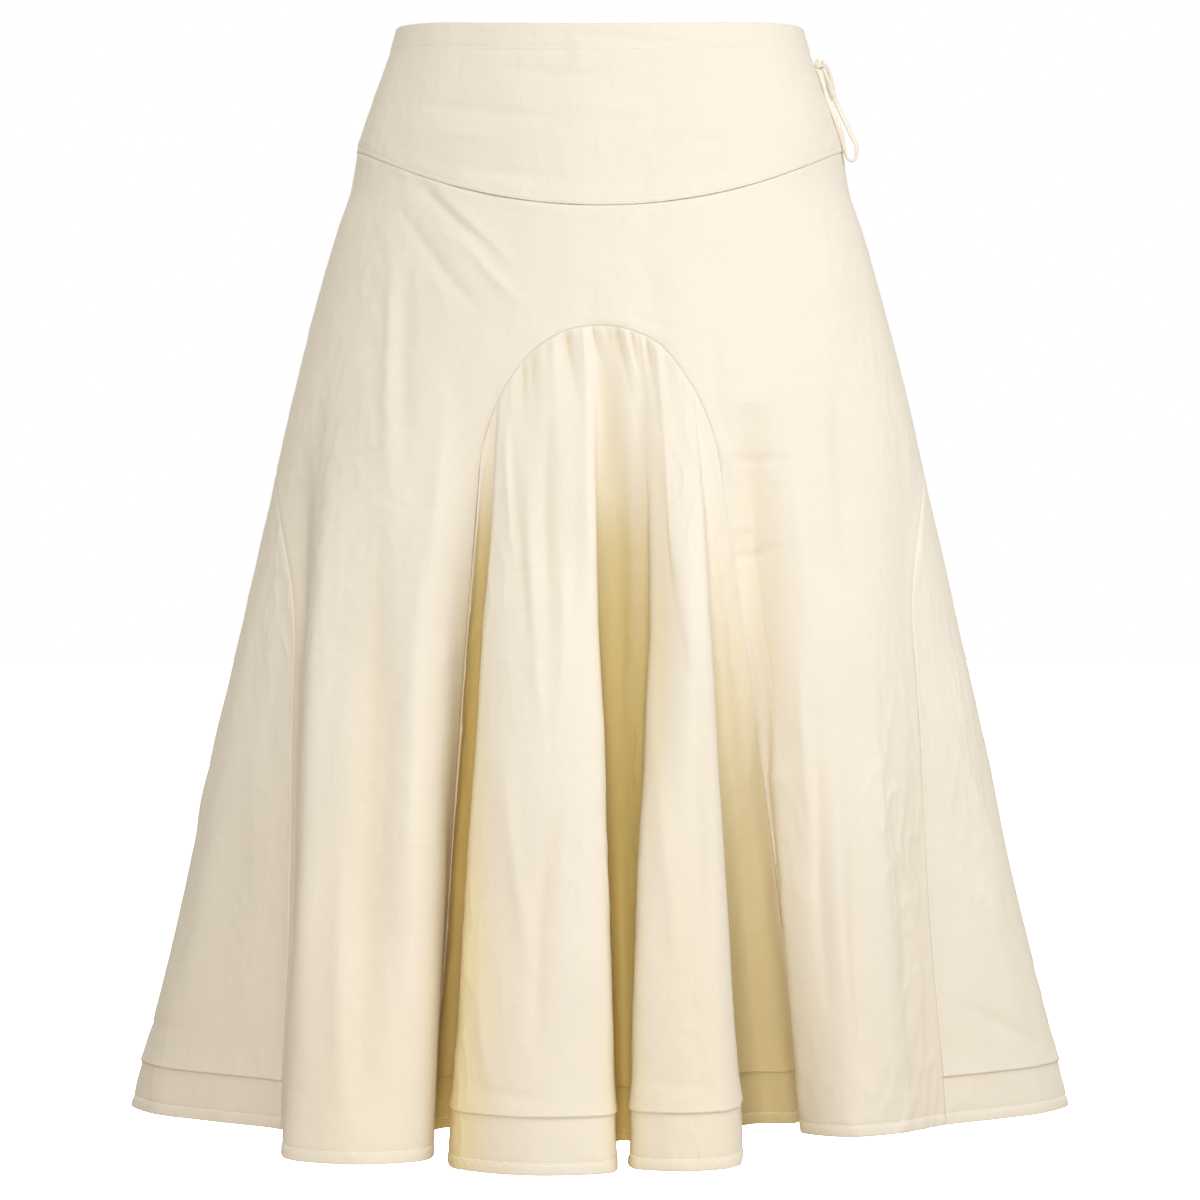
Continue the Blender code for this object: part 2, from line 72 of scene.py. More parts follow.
for light_name, light_place, light_width, light_height, light_power in SOFTBOXES:
    softbox = bpy.data.lights.new(light_name, "AREA")
    softbox.shape = "RECTANGLE"
    softbox.size = light_width
    softbox.size_y = light_height
    softbox.energy = light_power
    lamp = bpy.data.objects.new(light_name, softbox)
    lamp.location = light_place
    aim = Vector((0, 0, CAMERA_PLACE[2])) - lamp.location
    lamp.rotation_euler = aim.to_track_quat("-Z", "Y").to_euler()
    lamp.visible_camera = False
    bpy.context.scene.collection.objects.link(lamp)

room = bpy.data.worlds.new("room")
bpy.context.scene.world = room
room.use_nodes = True
room_tree = room.node_tree
room_glow = room_tree.nodes["Background"]
room_side = room_tree.nodes.new("ShaderNodeTexCoord")
room_split = room_tree.nodes.new("ShaderNodeSeparateXYZ")
room_share = room_tree.nodes.new("ShaderNodeMapRange")
room_share.inputs["From Min"].default_value = -1.0
room_tone = room_tree.nodes.new("ShaderNodeMix")
room_tone.data_type = "RGBA"
room_tone.inputs["A"].default_value = ROOM_LEFT
room_tone.inputs["B"].default_value = ROOM_RIGHT
room_tree.links.new(room_side.outputs["Generated"], room_split.inputs["Vector"])
room_tree.links.new(room_split.outputs["X"], room_share.inputs["Value"])
room_tree.links.new(room_share.outputs["Result"], room_tone.inputs["Factor"])
room_tree.links.new(room_tone.outputs["Result"], room_glow.inputs["Color"])
room_glow.inputs["Strength"].default_value = ROOM_STRENGTH
room_wall = room_tree.nodes.new("ShaderNodeBackground")
room_wall.inputs["Color"].default_value = (1.0, 1.0, 1.0, 1.0)
seen = room_tree.nodes.new("ShaderNodeLightPath")
room_mix = room_tree.nodes.new("ShaderNodeMixShader")
room_tree.links.new(seen.outputs["Is Camera Ray"], room_mix.inputs["Fac"])
room_tree.links.new(room_glow.outputs["Background"], room_mix.inputs[1])
room_tree.links.new(room_wall.outputs["Background"], room_mix.inputs[2])
room_tree.links.new(room_mix.outputs["Shader"], room_tree.nodes["World Output"].inputs["Surface"])

floor_mesh = bpy.data.meshes.new("floor")
floor_bm = bmesh.new()
bmesh.ops.create_grid(floor_bm, x_segments=1, y_segments=1, size=FLOOR_REACH)
bmesh.ops.translate(floor_bm, vec=(0, 0, FLOOR_LEVEL), verts=floor_bm.verts[:])
floor_bm.to_mesh(floor_mesh)
floor_bm.free()
floor = bpy.data.objects.new("floor", floor_mesh)
bpy.context.scene.collection.objects.link(floor)
floor_paint = bpy.data.materials.new("white_floor")
floor_paint.use_nodes = True
floor_tree = floor_paint.node_tree
floor_tree.nodes.remove(floor_tree.nodes["Principled BSDF"])
floor_plain = floor_tree.nodes.new("ShaderNodeBsdfDiffuse")
floor_plain.inputs["Color"].default_value = FLOOR_COLOUR
floor_bright = floor_tree.nodes.new("ShaderNodeBsdfDiffuse")
floor_bright.inputs["Color"].default_value = FLOOR_GLOW
floor_seen = floor_tree.nodes.new("ShaderNodeLightPath")
floor_mix = floor_tree.nodes.new("ShaderNodeMixShader")
floor_tree.links.new(floor_seen.outputs["Is Camera Ray"], floor_mix.inputs["Fac"])
floor_tree.links.new(floor_plain.outputs["BSDF"], floor_mix.inputs[1])
floor_tree.links.new(floor_bright.outputs["BSDF"], floor_mix.inputs[2])
floor_tree.links.new(floor_mix.outputs["Shader"], floor_tree.nodes["Material Output"].inputs["Surface"])
floor_mesh.materials.append(floor_paint)

# The tie at the wearer's left side of the yoke: a narrow strap of the same cotton, knotted
# against the side seam, so that a long loop and a short one hang from the knot.
# Each route is x, depth towards the front, drop; the ways that the strap turns are in degrees.
TIE_WIDTH = 0.0038
TIE_THICKNESS = 0.0019
TIE_STEP = 0.0011
TIE_SIDES = 18
TIE_SQUARENESS = 0.75
LONG_LOOP = (
    (0.1482, 0.0132, 0.0286),
    (0.1502, 0.0158, 0.0351),
    (0.1519, 0.0185, 0.0422),
    (0.1542, 0.0195, 0.0500),
    (0.1567, 0.0200, 0.0561),
    (0.1601, 0.0200, 0.0644),
    (0.1633, 0.0195, 0.0735),
    (0.1649, 0.0190, 0.0819),
    (0.1668, 0.0185, 0.0883),
    (0.1700, 0.0180, 0.0906),
    (0.1729, 0.0175, 0.0877),
    (0.1734, 0.0170, 0.0815),
    (0.1698, 0.0170, 0.0725),
    (0.1659, 0.0168, 0.0642),
    (0.1621, 0.0165, 0.0559),
    (0.1590, 0.0158, 0.0490),
    (0.1560, 0.0146, 0.0412),
    (0.1534, 0.0130, 0.0338),
    (0.1507, 0.0115, 0.0274),
)
LONG_LOOP_TURNS = (20, 35, 60, 30, 10, 0, -20, -60, -85, -90, -85, -55, -30, -35, -20, 10, 30, 45, 40)
SHORT_LOOP = (
    (0.1508, 0.0110, 0.0230),
    (0.1526, 0.0096, 0.0241),
    (0.1544, 0.0080, 0.0270),
    (0.1563, 0.0062, 0.0315),
    (0.1577, 0.0052, 0.0382),
    (0.1583, 0.0042, 0.0435),
    (0.1573, 0.0026, 0.0467),
    (0.1558, 0.0014, 0.0431),
    (0.1543, 0.0012, 0.0363),
    (0.1525, 0.0026, 0.0305),
    (0.1512, 0.0056, 0.0276),
    (0.1502, 0.0078, 0.0265),
)
SHORT_LOOP_TURNS = (40, 60, 70, 60, 45, 60, 85, 90, 70, 40, 20, 10)
KNOT_PLACE = (0.1477, 0.0120, 0.0242)
KNOT_SIZE = (0.0050, 0.0062, 0.0072)
KNOT_GIRTH = 0.019
# Wraps of the strap around the knot: how many, how far they lean, how narrow and how deep
KNOT_WRAPS = (3, 2.2, 8, 0.16)

# Cream cotton on open cloth and painted golden shade between the folds, high on the skirt and low on it,
# and the heights over which the one turns into the other: painted shade darkens the open cloth low down,
# and the golden shade is lighter low down as painted bounce light. In the folds that height runs on a
# slant.
COTTON = (0.925, 0.868, 0.775, 1.0)
COTTON_SHADED_LOW = (0.865, 0.800, 0.695, 1.0)
COTTON_PAINTED_SHADE = (0.670, 0.525, 0.180, 1.0)
COTTON_PAINTED_SHADE_LOW = (0.930, 0.720, 0.270, 1.0)
OPEN_SHADE_FALL = (-0.38, -0.68)
PAINTED_SHADE_HEIGHTS = (-0.50, -0.70)
PAINTED_SHADE_SLANT = (1.4, 0.0, 1.0)
SHEEN_TINT = (1.0, 0.97, 0.90, 1.0)
THREADS_PER_METRE = 4400.0
# Slubs for each metre across and along the grain, in the warp and in the weft
WARP_SLUBS = (520.0, 34.0, 1.0)
WEFT_SLUBS = (60.0, 560.0, 1.0)
WEFT_SHARE = 0.25
RUMPLE_HANG = (1.0, 1.0, 0.45)


def hermite(keys, values, tangents, at):
    """A cubic through the keys with the given tangents."""
    cell = np.clip(np.searchsorted(keys, at, side="right") - 1, 0, len(keys) - 2)
    width = keys[cell + 1] - keys[cell]
    t = (at - keys[cell]) / width
    return (
        values[cell] * (1 + 2 * t) * (1 - t) ** 2
        + values[cell + 1] * t * t * (3 - 2 * t)
        + width * (tangents[cell] * t * (1 - t) ** 2 - tangents[cell + 1] * t * t * (1 - t))
    )


def monotone(keys, values, at):
    """Smooth values between the keys of a table, with no overshoot."""
    keys, values = np.asarray(keys, float), np.asarray(values, float)
    steps = np.diff(keys)
    slopes = np.diff(values) / steps
    tangents = np.zeros(len(keys))
    tangents[0], tangents[-1] = slopes[0], slopes[-1]
    before, after = slopes[:-1], slopes[1:]
    same_way = before * after > 0
    near, far = 2 * steps[1:] + steps[:-1], steps[1:] + 2 * steps[:-1]
    with np.errstate(divide="ignore", invalid="ignore"):
        mean = (near + far) / (near / before + far / after)
    tangents[1:-1] = np.where(same_way, mean, 0.0)
    return hermite(keys, values, tangents, at)


def unit(vectors):
    """The same directions at length one."""
    return vectors / np.linalg.norm(vectors, axis=-1, keepdims=True)


def run_along(points):
    """Lengths along a line, from its first point to each of its points."""
    return np.concatenate([[0], np.cumsum(np.linalg.norm(np.diff(points, axis=0), axis=1))])


def node(tree, kind, **values):
    """A new node with its named inputs or settings set."""
    made = tree.nodes.new(kind)
    for name, value in values.items():
        socket = name.replace("_", " ").title()
        if socket in made.inputs:
            made.inputs[socket].default_value = value
        else:
            setattr(made, name, value)
    return made


def sine_of(tree, axis_socket, per_metre):
    """The sine of a distance along the cloth, one full turn for every two threads."""
    scaled = node(tree, "ShaderNodeMath", operation="MULTIPLY")
    scaled.inputs[1].default_value = math.pi * per_metre
    wave = node(tree, "ShaderNodeMath", operation="SINE")
    tree.links.new(axis_socket, scaled.inputs[0])
    tree.links.new(scaled.outputs[0], wave.inputs[0])
    return wave.outputs[0]


def cotton_cloth(name):
    """Plain-woven cream cotton: crossing threads, faint slubs, fine crumple and a soft nap, with painted
    shade that is golden in the valleys and darker low down.
    """
    material = bpy.data.materials.new(name)
    material.use_nodes = True
    tree = material.node_tree
    link = tree.links.new
    shader = tree.nodes["Principled BSDF"]
    shader.inputs["Roughness"].default_value = 0.86
    shader.inputs["Specular IOR Level"].default_value = 0.25
    shader.inputs["Sheen Weight"].default_value = 0.12
    shader.inputs["Sheen Roughness"].default_value = 0.55
    shader.inputs["Sheen Tint"].default_value = SHEEN_TINT
    cloth = node(tree, "ShaderNodeUVMap", uv_map="cloth")
    split = node(tree, "ShaderNodeSeparateXYZ")
    link(cloth.outputs["UV"], split.inputs["Vector"])
    across = sine_of(tree, split.outputs["X"], THREADS_PER_METRE)
    along = sine_of(tree, split.outputs["Y"], THREADS_PER_METRE)
    weave = node(tree, "ShaderNodeMath", operation="MULTIPLY_ADD")
    link(across, weave.inputs[0])
    link(along, weave.inputs[1])
    weave.inputs[2].default_value = 0.5

    slubs = node(tree, "ShaderNodeMath", operation="MULTIPLY_ADD")
    slubs.inputs[1].default_value = WEFT_SHARE
    for way, slubs_per_metre, socket in (("warp", WARP_SLUBS, 2), ("weft", WEFT_SLUBS, 0)):
        stretch = node(tree, "ShaderNodeMapping", label=way)
        stretch.inputs["Scale"].default_value = slubs_per_metre
        link(cloth.outputs["UV"], stretch.inputs["Vector"])
        slub = node(tree, "ShaderNodeTexNoise", scale=1.0, detail=3.0, roughness=0.6)
        link(stretch.outputs["Vector"], slub.inputs["Vector"])
        link(slub.outputs["Fac"], slubs.inputs[socket])

    place = node(tree, "ShaderNodeTexCoord")
    hang = node(tree, "ShaderNodeMapping")
    hang.inputs["Scale"].default_value = RUMPLE_HANG
    link(place.outputs["Object"], hang.inputs["Vector"])
    rumple = node(tree, "ShaderNodeTexNoise", scale=75.0, detail=4.0, roughness=0.55, distortion=0.8)
    link(hang.outputs["Vector"], rumple.inputs["Vector"])
    cloud = node(tree, "ShaderNodeTexNoise", scale=14.0, detail=2.0, roughness=0.5)
    link(place.outputs["Object"], cloud.inputs["Vector"])

    tone = node(tree, "ShaderNodeMapRange", from_min=0.40, from_max=0.85, to_min=0.97, to_max=1.02)
    link(slubs.outputs[0], tone.inputs["Value"])
    shade = node(tree, "ShaderNodeMapRange", from_min=0.3, from_max=0.7, to_min=0.985, to_max=1.01)
    link(cloud.outputs["Fac"], shade.inputs["Value"])
    tones = node(tree, "ShaderNodeMath", operation="MULTIPLY")
    link(tone.outputs["Result"], tones.inputs[0])
    link(shade.outputs["Result"], tones.inputs[1])
    where = node(tree, "ShaderNodeSeparateXYZ")
    link(place.outputs["Object"], where.inputs["Vector"])
    # The valley attribute carries painted shade: the depth mix turns the cloth from its open colour to the
    # painted golden shade.
    valley = node(tree, "ShaderNodeAttribute", attribute_name="valley")
    depth = node(tree, "ShaderNodeMix", data_type="RGBA")
    link(valley.outputs["Fac"], depth.inputs["Factor"])
    slant = node(tree, "ShaderNodeVectorMath", operation="DOT_PRODUCT")
    slant.inputs[1].default_value = PAINTED_SHADE_SLANT
    link(place.outputs["Object"], slant.inputs[0])
    # Painted shade: the open cloth darkens low down, and the golden shade turns lighter low down, on a
    # slant, as painted bounce light.
    for socket, height, high_colour, low_colour, (high, low) in (
        ("A", where.outputs["Z"], COTTON, COTTON_SHADED_LOW, OPEN_SHADE_FALL),
        ("B", slant.outputs["Value"], COTTON_PAINTED_SHADE, COTTON_PAINTED_SHADE_LOW, PAINTED_SHADE_HEIGHTS),
    ):
        fall = node(tree, "ShaderNodeMapRange", from_min=high, from_max=low)
        link(height, fall.inputs["Value"])
        colours = node(tree, "ShaderNodeMix", data_type="RGBA")
        colours.inputs["A"].default_value = high_colour
        colours.inputs["B"].default_value = low_colour
        link(fall.outputs["Result"], colours.inputs["Factor"])
        link(colours.outputs["Result"], depth.inputs[socket])
    mottle = node(tree, "ShaderNodeVectorMath", operation="SCALE")
    link(depth.outputs["Result"], mottle.inputs[0])
    link(tones.outputs[0], mottle.inputs["Scale"])
    link(mottle.outputs["Vector"], shader.inputs["Base Color"])

    thread_bump = node(tree, "ShaderNodeBump", strength=0.25, distance=0.0001)
    link(weave.outputs[0], thread_bump.inputs["Height"])
    slub_bump = node(tree, "ShaderNodeBump", strength=0.20, distance=0.00015)
    link(slubs.outputs[0], slub_bump.inputs["Height"])
    link(thread_bump.outputs["Normal"], slub_bump.inputs["Normal"])
    rumple_bump = node(tree, "ShaderNodeBump", strength=0.45, distance=0.0014)
    link(rumple.outputs["Fac"], rumple_bump.inputs["Height"])
    link(slub_bump.outputs["Normal"], rumple_bump.inputs["Normal"])
    link(rumple_bump.outputs["Normal"], shader.inputs["Normal"])
    return material


def lay_grid(name, points, outward_ways, cloth_map, fields=()):
    """A mesh object whose vertices are a grid of points, with the cloth's own map in metres."""
    rows, columns = points.shape[:2]
    bm = bmesh.new()
    bmesh.ops.create_grid(bm, x_segments=columns - 1, y_segments=rows - 1, size=0.5)
    mesh = bpy.data.meshes.new(name)
    bm.to_mesh(mesh)
    bm.free()
    flat = np.empty(len(mesh.vertices) * 3)
    mesh.vertices.foreach_get("co", flat)
    places = np.rint((flat.reshape(-1, 3)[:, :2] + 0.5) * (columns - 1, rows - 1)).astype(int)
    row, column = places[:, 1], places[:, 0]
    mesh.vertices.foreach_set("co", points[row, column].ravel())
    corners = np.empty(len(mesh.loops), int)
    mesh.loops.foreach_get("vertex_index", corners)
    uv = cloth_map[row, column][corners]
    mesh.uv_layers.new(name="cloth").data.foreach_set("uv", uv.ravel())
    for field_name, values in fields:
        layer = mesh.attributes.new(field_name, "FLOAT", "POINT")
        layer.data.foreach_set("value", values[row, column].astype(np.float32))
    mesh.update()
    middle = mesh.polygons[len(mesh.polygons) // 2]
    if middle.normal @ Vector(outward_ways[row, column][middle.vertices[0]]) < 0:
        mesh.flip_normals()
    mesh.shade_smooth()
    made = bpy.data.objects.new(name, mesh)
    bpy.context.scene.collection.objects.link(made)
    return made


def strap(name, route, turns, material):
    """A narrow flat strap along its route, turned about its length as the table says."""
    path = np.array([(x, -depth, -drop) for x, depth, drop in route])
    run = run_along(path)
    places = np.linspace(0, run[-1], round(run[-1] / TIE_STEP) + 1)
    middle = np.stack([monotone(run, path[:, axis], places) for axis in range(3)], axis=1)
    turn = np.radians(np.interp(places, run, turns))[:, None]
    way = unit(np.gradient(middle, axis=0))
    front = np.array([0.0, -1.0, 0.0])
    flat_side = unit(front - way * (way @ front)[:, None])
    width_side = np.cross(way, flat_side)
    broad = width_side * np.cos(turn) + flat_side * np.sin(turn)
    thin = np.cross(broad, way)
    around = np.linspace(0, 2 * np.pi, TIE_SIDES + 1)
    wide = np.sign(np.cos(around)) * np.abs(np.cos(around)) ** TIE_SQUARENESS * TIE_WIDTH / 2
    deep = np.sign(np.sin(around)) * np.abs(np.sin(around)) ** TIE_SQUARENESS * TIE_THICKNESS / 2
    offsets = broad[:, None] * wide[:, None] + thin[:, None] * deep[:, None]
    points = middle[:, None] + offsets
    cloth_map = np.stack(np.broadcast_arrays(around * TIE_WIDTH / np.pi, places[:, None]), axis=-1)
    fields = [("valley", np.zeros(points.shape[:2]))]
    piece = lay_grid(f"{name}_strap", points, unit(offsets), cloth_map, fields)
    bm = bmesh.new()
    bm.from_mesh(piece.data)
    bmesh.ops.remove_doubles(bm, verts=bm.verts[:], dist=1e-6)
    bmesh.ops.holes_fill(bm, edges=[edge for edge in bm.edges if edge.is_boundary])
    bmesh.ops.recalc_face_normals(bm, faces=bm.faces[:])
    bm.to_mesh(piece.data)
    bm.free()
    piece.data.materials.append(material)
    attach(piece, "root")
    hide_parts(name)


tie_cotton = cotton_cloth("tie_cotton")
strap("tie_long_loop", LONG_LOOP, LONG_LOOP_TURNS, tie_cotton)
strap("tie_short_loop", SHORT_LOOP, SHORT_LOOP_TURNS, tie_cotton)

knot_bm = bmesh.new()
knot_map = knot_bm.loops.layers.uv.new("cloth")
bmesh.ops.create_uvsphere(knot_bm, u_segments=40, v_segments=26, radius=1.0, calc_uvs=True)
for face in knot_bm.faces:
    for corner in face.loops:
        corner[knot_map].uv *= KNOT_GIRTH
wraps, wrap_lean, wrap_narrowness, wrap_depth = KNOT_WRAPS
for vert in knot_bm.verts:
    turn = math.atan2(vert.co.z, vert.co.x)
    groove = math.cos(wraps * turn + wrap_lean * vert.co.y) ** wrap_narrowness * (1 - vert.co.y**2)
    vert.co *= 1 - wrap_depth * groove
    vert.co = [vert.co[axis] * KNOT_SIZE[axis] / 2 for axis in range(3)]
bmesh.ops.translate(knot_bm, vec=(KNOT_PLACE[0], -KNOT_PLACE[1], -KNOT_PLACE[2]), verts=knot_bm.verts[:])
knot_mesh = bpy.data.meshes.new("tie_knot")
knot_bm.to_mesh(knot_mesh)
knot_bm.free()
knot_mesh.shade_smooth()
knot_mesh.materials.append(tie_cotton)
knot = bpy.data.objects.new("knot", knot_mesh)
bpy.context.scene.collection.objects.link(knot)
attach(knot, "root")
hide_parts("tie_knot")

# The front yoke: a deep shaped band of firm cotton from the waist to a curved seam, with its
# top edge turned in and topstitched, and its lower edge turned over the panel and edge-stitched.
# The whole skirt is cut from one form, read by an angle around the body, from the middle of the
# front to the wearer's left, and a share of the drop from the waist to the hem.
WALL = 0.0013
SINGLE_CLOTH = 0.0007
FOLD_SOFTNESS = 0.08
EDGE_STEPS = (0.0004, 0.0009, 0.0016, 0.0026)
FRONT_WAIST_DIP = 0.0101
YOKE_SIDE_DROP = 0.084
YOKE_CENTRE_DROP = 0.131

# Sections of the plain, unfolded form: drop, half width at the side, depth in front, depth behind
SECTIONS = (
    (-0.010, 0.1368, 0.0960, 0.0970),
    (0.000, 0.1376, 0.0980, 0.1000),
    (0.014, 0.1412, 0.1010, 0.1050),
    (0.049, 0.1535, 0.1085, 0.1165),
    (0.080, 0.1632, 0.1145, 0.1265),
    (0.110, 0.1682, 0.1185, 0.1325),
    (0.138, 0.1775, 0.1240, 0.1385),
    (0.200, 0.1955, 0.1380, 0.1510),
    (0.320, 0.2232, 0.1600, 0.1735),
    (0.480, 0.2598, 0.1800, 0.2000),
    (0.600, 0.2850, 0.1910, 0.2180),
    (0.700, 0.3095, 0.1980, 0.2310),
    (0.745, 0.3195, 0.2010, 0.2370),
)

# Ridges, valleys and seams of the hem, in order around it from the wearer's right side.
# Name, angle, angle to its shoulders, x, depth towards the front, half width, fall of the shoulder
# before it and of the one after it (below zero where the shoulders stand proud of a valley),
# drop of the hem there, drop where the fold begins.
HEM_TURNS = (
    ("right side", -90.0, 0.0, -0.3170, 0.0000, 0.000, 0.000, 0.000, 0.7304, 0.250),
    ("right insert", -80.0, 0.0, -0.2990, 0.0440, 0.000, 0.000, 0.000, 0.7304, 0.250),
    ("right insert front", -74.0, 0.0, -0.2560, 0.0820, 0.000, 0.000, 0.000, 0.7304, 0.250),
    ("right insert seam", -68.0, 0.0, -0.2065, 0.1210, 0.000, 0.000, 0.000, 0.7304, 0.240),
    ("right panel ridge", -45.0, 10.5, -0.1485, 0.2620, 0.035, 0.013, 0.012, 0.7325, 0.200),
    ("right arch seam", -20.7, 0.0, -0.1090, 0.1580, 0.000, 0.000, 0.000, 0.7300, 0.235),
    ("right valley", -19.2, 0.7, -0.0930, 0.1200, 0.011, -0.008, -0.010, 0.7288, 0.235),
    ("first fold", -9.8, 7.6, -0.0425, 0.2700, 0.047, 0.030, 0.010, 0.7380, 0.190),
    ("middle valley", 3.2, 3.2, 0.0150, 0.1640, 0.010, -0.013, -0.013, 0.7313, 0.190),
    ("second fold", 12.8, 3.8, 0.0500, 0.2650, 0.0255, 0.008, 0.009, 0.7362, 0.190),
    ("left valley", 17.8, 0.9, 0.1070, 0.1000, 0.018, -0.014, -0.002, 0.7290, 0.235),
    ("left arch seam", 20.2, 0.0, 0.1370, 0.0950, 0.000, 0.000, 0.000, 0.7240, 0.240),
    ("left panel ridge", 38.5, 11.0, 0.1600, 0.1560, 0.029, 0.019, 0.014, 0.7304, 0.230),
    ("left insert seam", 68.0, 0.0, 0.2264, 0.0990, 0.000, 0.000, 0.000, 0.7304, 0.240),
    ("left insert front", 74.0, 0.0, 0.2620, 0.0720, 0.000, 0.000, 0.000, 0.7304, 0.250),
    ("left insert", 80.0, 0.0, 0.2990, 0.0380, 0.000, 0.000, 0.000, 0.7304, 0.250),
    ("left side", 90.0, 0.0, 0.3170, 0.0000, 0.000, 0.000, 0.000, 0.7304, 0.250),
    ("left insert behind", 100.0, 0.0, 0.2990, -0.0430, 0.000, 0.000, 0.000, 0.7304, 0.250),
    ("left insert back", 106.0, 0.0, 0.2610, -0.0850, 0.000, 0.000, 0.000, 0.7304, 0.250),
    ("left back seam", 112.0, 0.0, 0.2210, -0.1260, 0.000, 0.000, 0.000, 0.7304, 0.240),
    ("first back ridge", 127.0, 7.0, 0.1790, -0.2360, 0.032, 0.020, 0.018, 0.7340, 0.200),
    ("first back valley", 142.0, 4.5, 0.1180, -0.1800, 0.017, -0.010, -0.012, 0.7300, 0.200),
    ("second back ridge", 158.0, 7.5, 0.0680, -0.2740, 0.034, 0.018, 0.020, 0.7350, 0.190),
    ("second back valley", 174.0, 4.5, 0.0080, -0.1990, 0.016, -0.012, -0.012, 0.7305, 0.190),
    ("third back ridge", 190.0, 7.5, -0.0540, -0.2790, 0.036, 0.020, 0.018, 0.7352, 0.190),
    ("third back valley", 206.5, 4.5, -0.1130, -0.1880, 0.017, -0.012, -0.010, 0.7300, 0.200),
    ("fourth back ridge", 225.0, 8.0, -0.1720, -0.2480, 0.035, 0.017, 0.022, 0.7342, 0.200),
    ("right back seam", 248.0, 0.0, -0.2170, -0.1310, 0.000, 0.000, 0.000, 0.7304, 0.240),
    ("right insert back", 254.0, 0.0, -0.2580, -0.0880, 0.000, 0.000, 0.000, 0.7304, 0.250),
    ("right insert behind", 260.0, 0.0, -0.2990, -0.0440, 0.000, 0.000, 0.000, 0.7304, 0.250),
)
TURNS_EACH_WAY = 2

# Arched seam of the front: middle angle, half angle, drop of its top, height of the round part
# and its fullness. The folds below it spring from the seam, a little above it at most.
GODET_ARCH = (-0.25, 20.45, 0.2102, 0.095, 2.2)
FOLD_LEAD = 0.020
LATEST_START = 0.235

# How far from a seam creases and swells have their full height, how crisp a crease is, and how
# deep a crease is where it is darkest
SEAM_CLEAR = 0.004
CREASE_CRISPNESS = 1.6
CREASE_DEPTH = 0.008

# Low welt of the allowance pressed under a seam: height, width and softness of its edge, and the
# dip of the cloth into the seam: depth and width
SEAM_WELT = (0.00022, 0.0085, 0.0007)
SEAM_DIP = (0.0010, 0.0009)

# An edge turned in and stitched: its fuller cloth and its softness, the rounding of the edge and
# its width, the stitches' groove and its width, and the puckers between stitch and edge: their
# height, how far apart they are, how far up one leans by that much, and the beat of their height
TURNED_FULLNESS = (0.00035, 0.0012)
EDGE_ROUND = (0.00045, 0.0005)
STITCH_GROOVE = (0.00060, 0.0012)
PUCKER = (0.00026, 0.0062, 0.016, 71.0)

# Steps in degrees at which the ridges beside a valley are looked for, and the depth of a valley,
# as a share of the form's reach, at which its painted golden shade is mostly full
RIDGE_SEARCH = (2.0, 4.0, 6.0, 8.5, 12.0, 16.0, 21.0, 27.0)
DEEP_VALLEY = 0.13

STITCH_PITCH = 0.0027
STITCH_LENGTH = 0.0021
STITCH_WIDTH = 0.00085
STITCH_HEIGHT = 0.00085
THREAD = (0.975, 0.945, 0.880, 1.0)

# Places where the cloth eases in between its folds, or out where the amount is below zero
EASINGS = (
    # angle, drop, half angle, half drop, how far in, how far to the left
    (9.4, 0.380, 3.4, 0.150, 0.0060, 0.0080),
    (5.6, 0.380, 2.4, 0.130, -0.0060, 0.0000),
    (17.5, 0.390, 3.6, 0.110, -0.0080, 0.0000),
    (-2.0, 0.255, 2.4, 0.050, 0.0030, 0.0000),
)


def hem_points():
    """The points that the hem runs through: angle, x, depth, hem drop and fold's start."""
    points = []
    for name, angle, spread, x, depth, half, before, after, drop, start in HEM_TURNS:
        way = 1.0 if depth >= 0 else -1.0
        if spread:
            points.append((angle - spread, x - way * half, depth - way * before, drop, start))
        points.append((angle, x, depth, drop, start))
        if spread:
            points.append((angle + spread, x + way * half, depth - way * after, drop, start))
    return np.array(points)


def go_round(points):
    """Repeat the closed row of points before and after itself, so that it can be read anywhere."""
    copies = []
    for turn in range(-TURNS_EACH_WAY, TURNS_EACH_WAY + 1):
        copy = points.copy()
        copy[:, 0] += 360.0 * turn
        copies.append(copy)
    return np.concatenate(copies)


HEM = go_round(hem_points())
HEM_RUN = np.concatenate([[0], np.cumsum(np.hypot(np.diff(HEM[:, 1]), np.diff(HEM[:, 2])))])


def along_hem(column, run):
    """x or depth of the hem's line at a length along it."""
    values, steps = HEM[:, column], np.diff(HEM_RUN)
    slopes = np.diff(values) / steps
    tangents = np.zeros(len(values))
    tangents[1:-1] = (slopes[1:] * steps[:-1] + slopes[:-1] * steps[1:]) / (steps[:-1] + steps[1:])
    return hermite(HEM_RUN, values, tangents, run)


def hem_drop(angle):
    """Drop of the hem at an angle around the body."""
    return monotone(HEM[:, 0], HEM[:, 3], np.asarray(angle, float))


def section_sizes(drop):
    """Half width, depth in front and depth behind of the form without folds."""
    table = np.array(SECTIONS)
    return [monotone(table[:, 0], table[:, column], drop) for column in (1, 2, 3)]


def plain_form(angle, drop):
    """x and depth of the form without folds."""
    half_width, front, back = section_sizes(drop)
    turn = np.radians(angle)
    depth = np.where(np.cos(turn) >= 0, front, back)
    return half_width * np.sin(turn), depth * np.cos(turn)


def soft_start(share):
    """Growth of a fold down its length, gentle where it begins and straight from there on."""
    soft = FOLD_SOFTNESS
    return (share - soft * (1 - np.exp(-share / soft))) / (1 - soft * (1 - np.exp(-1 / soft)))


def arch_share(arch, angle):
    """Share of the drop at an arched seam."""
    middle, half, top, cap, fullness = arch
    across = np.clip(np.abs(angle - middle) / half, 0, 1)
    return (top + cap * (1 - np.sqrt(1 - across**fullness))) / hem_drop(angle)


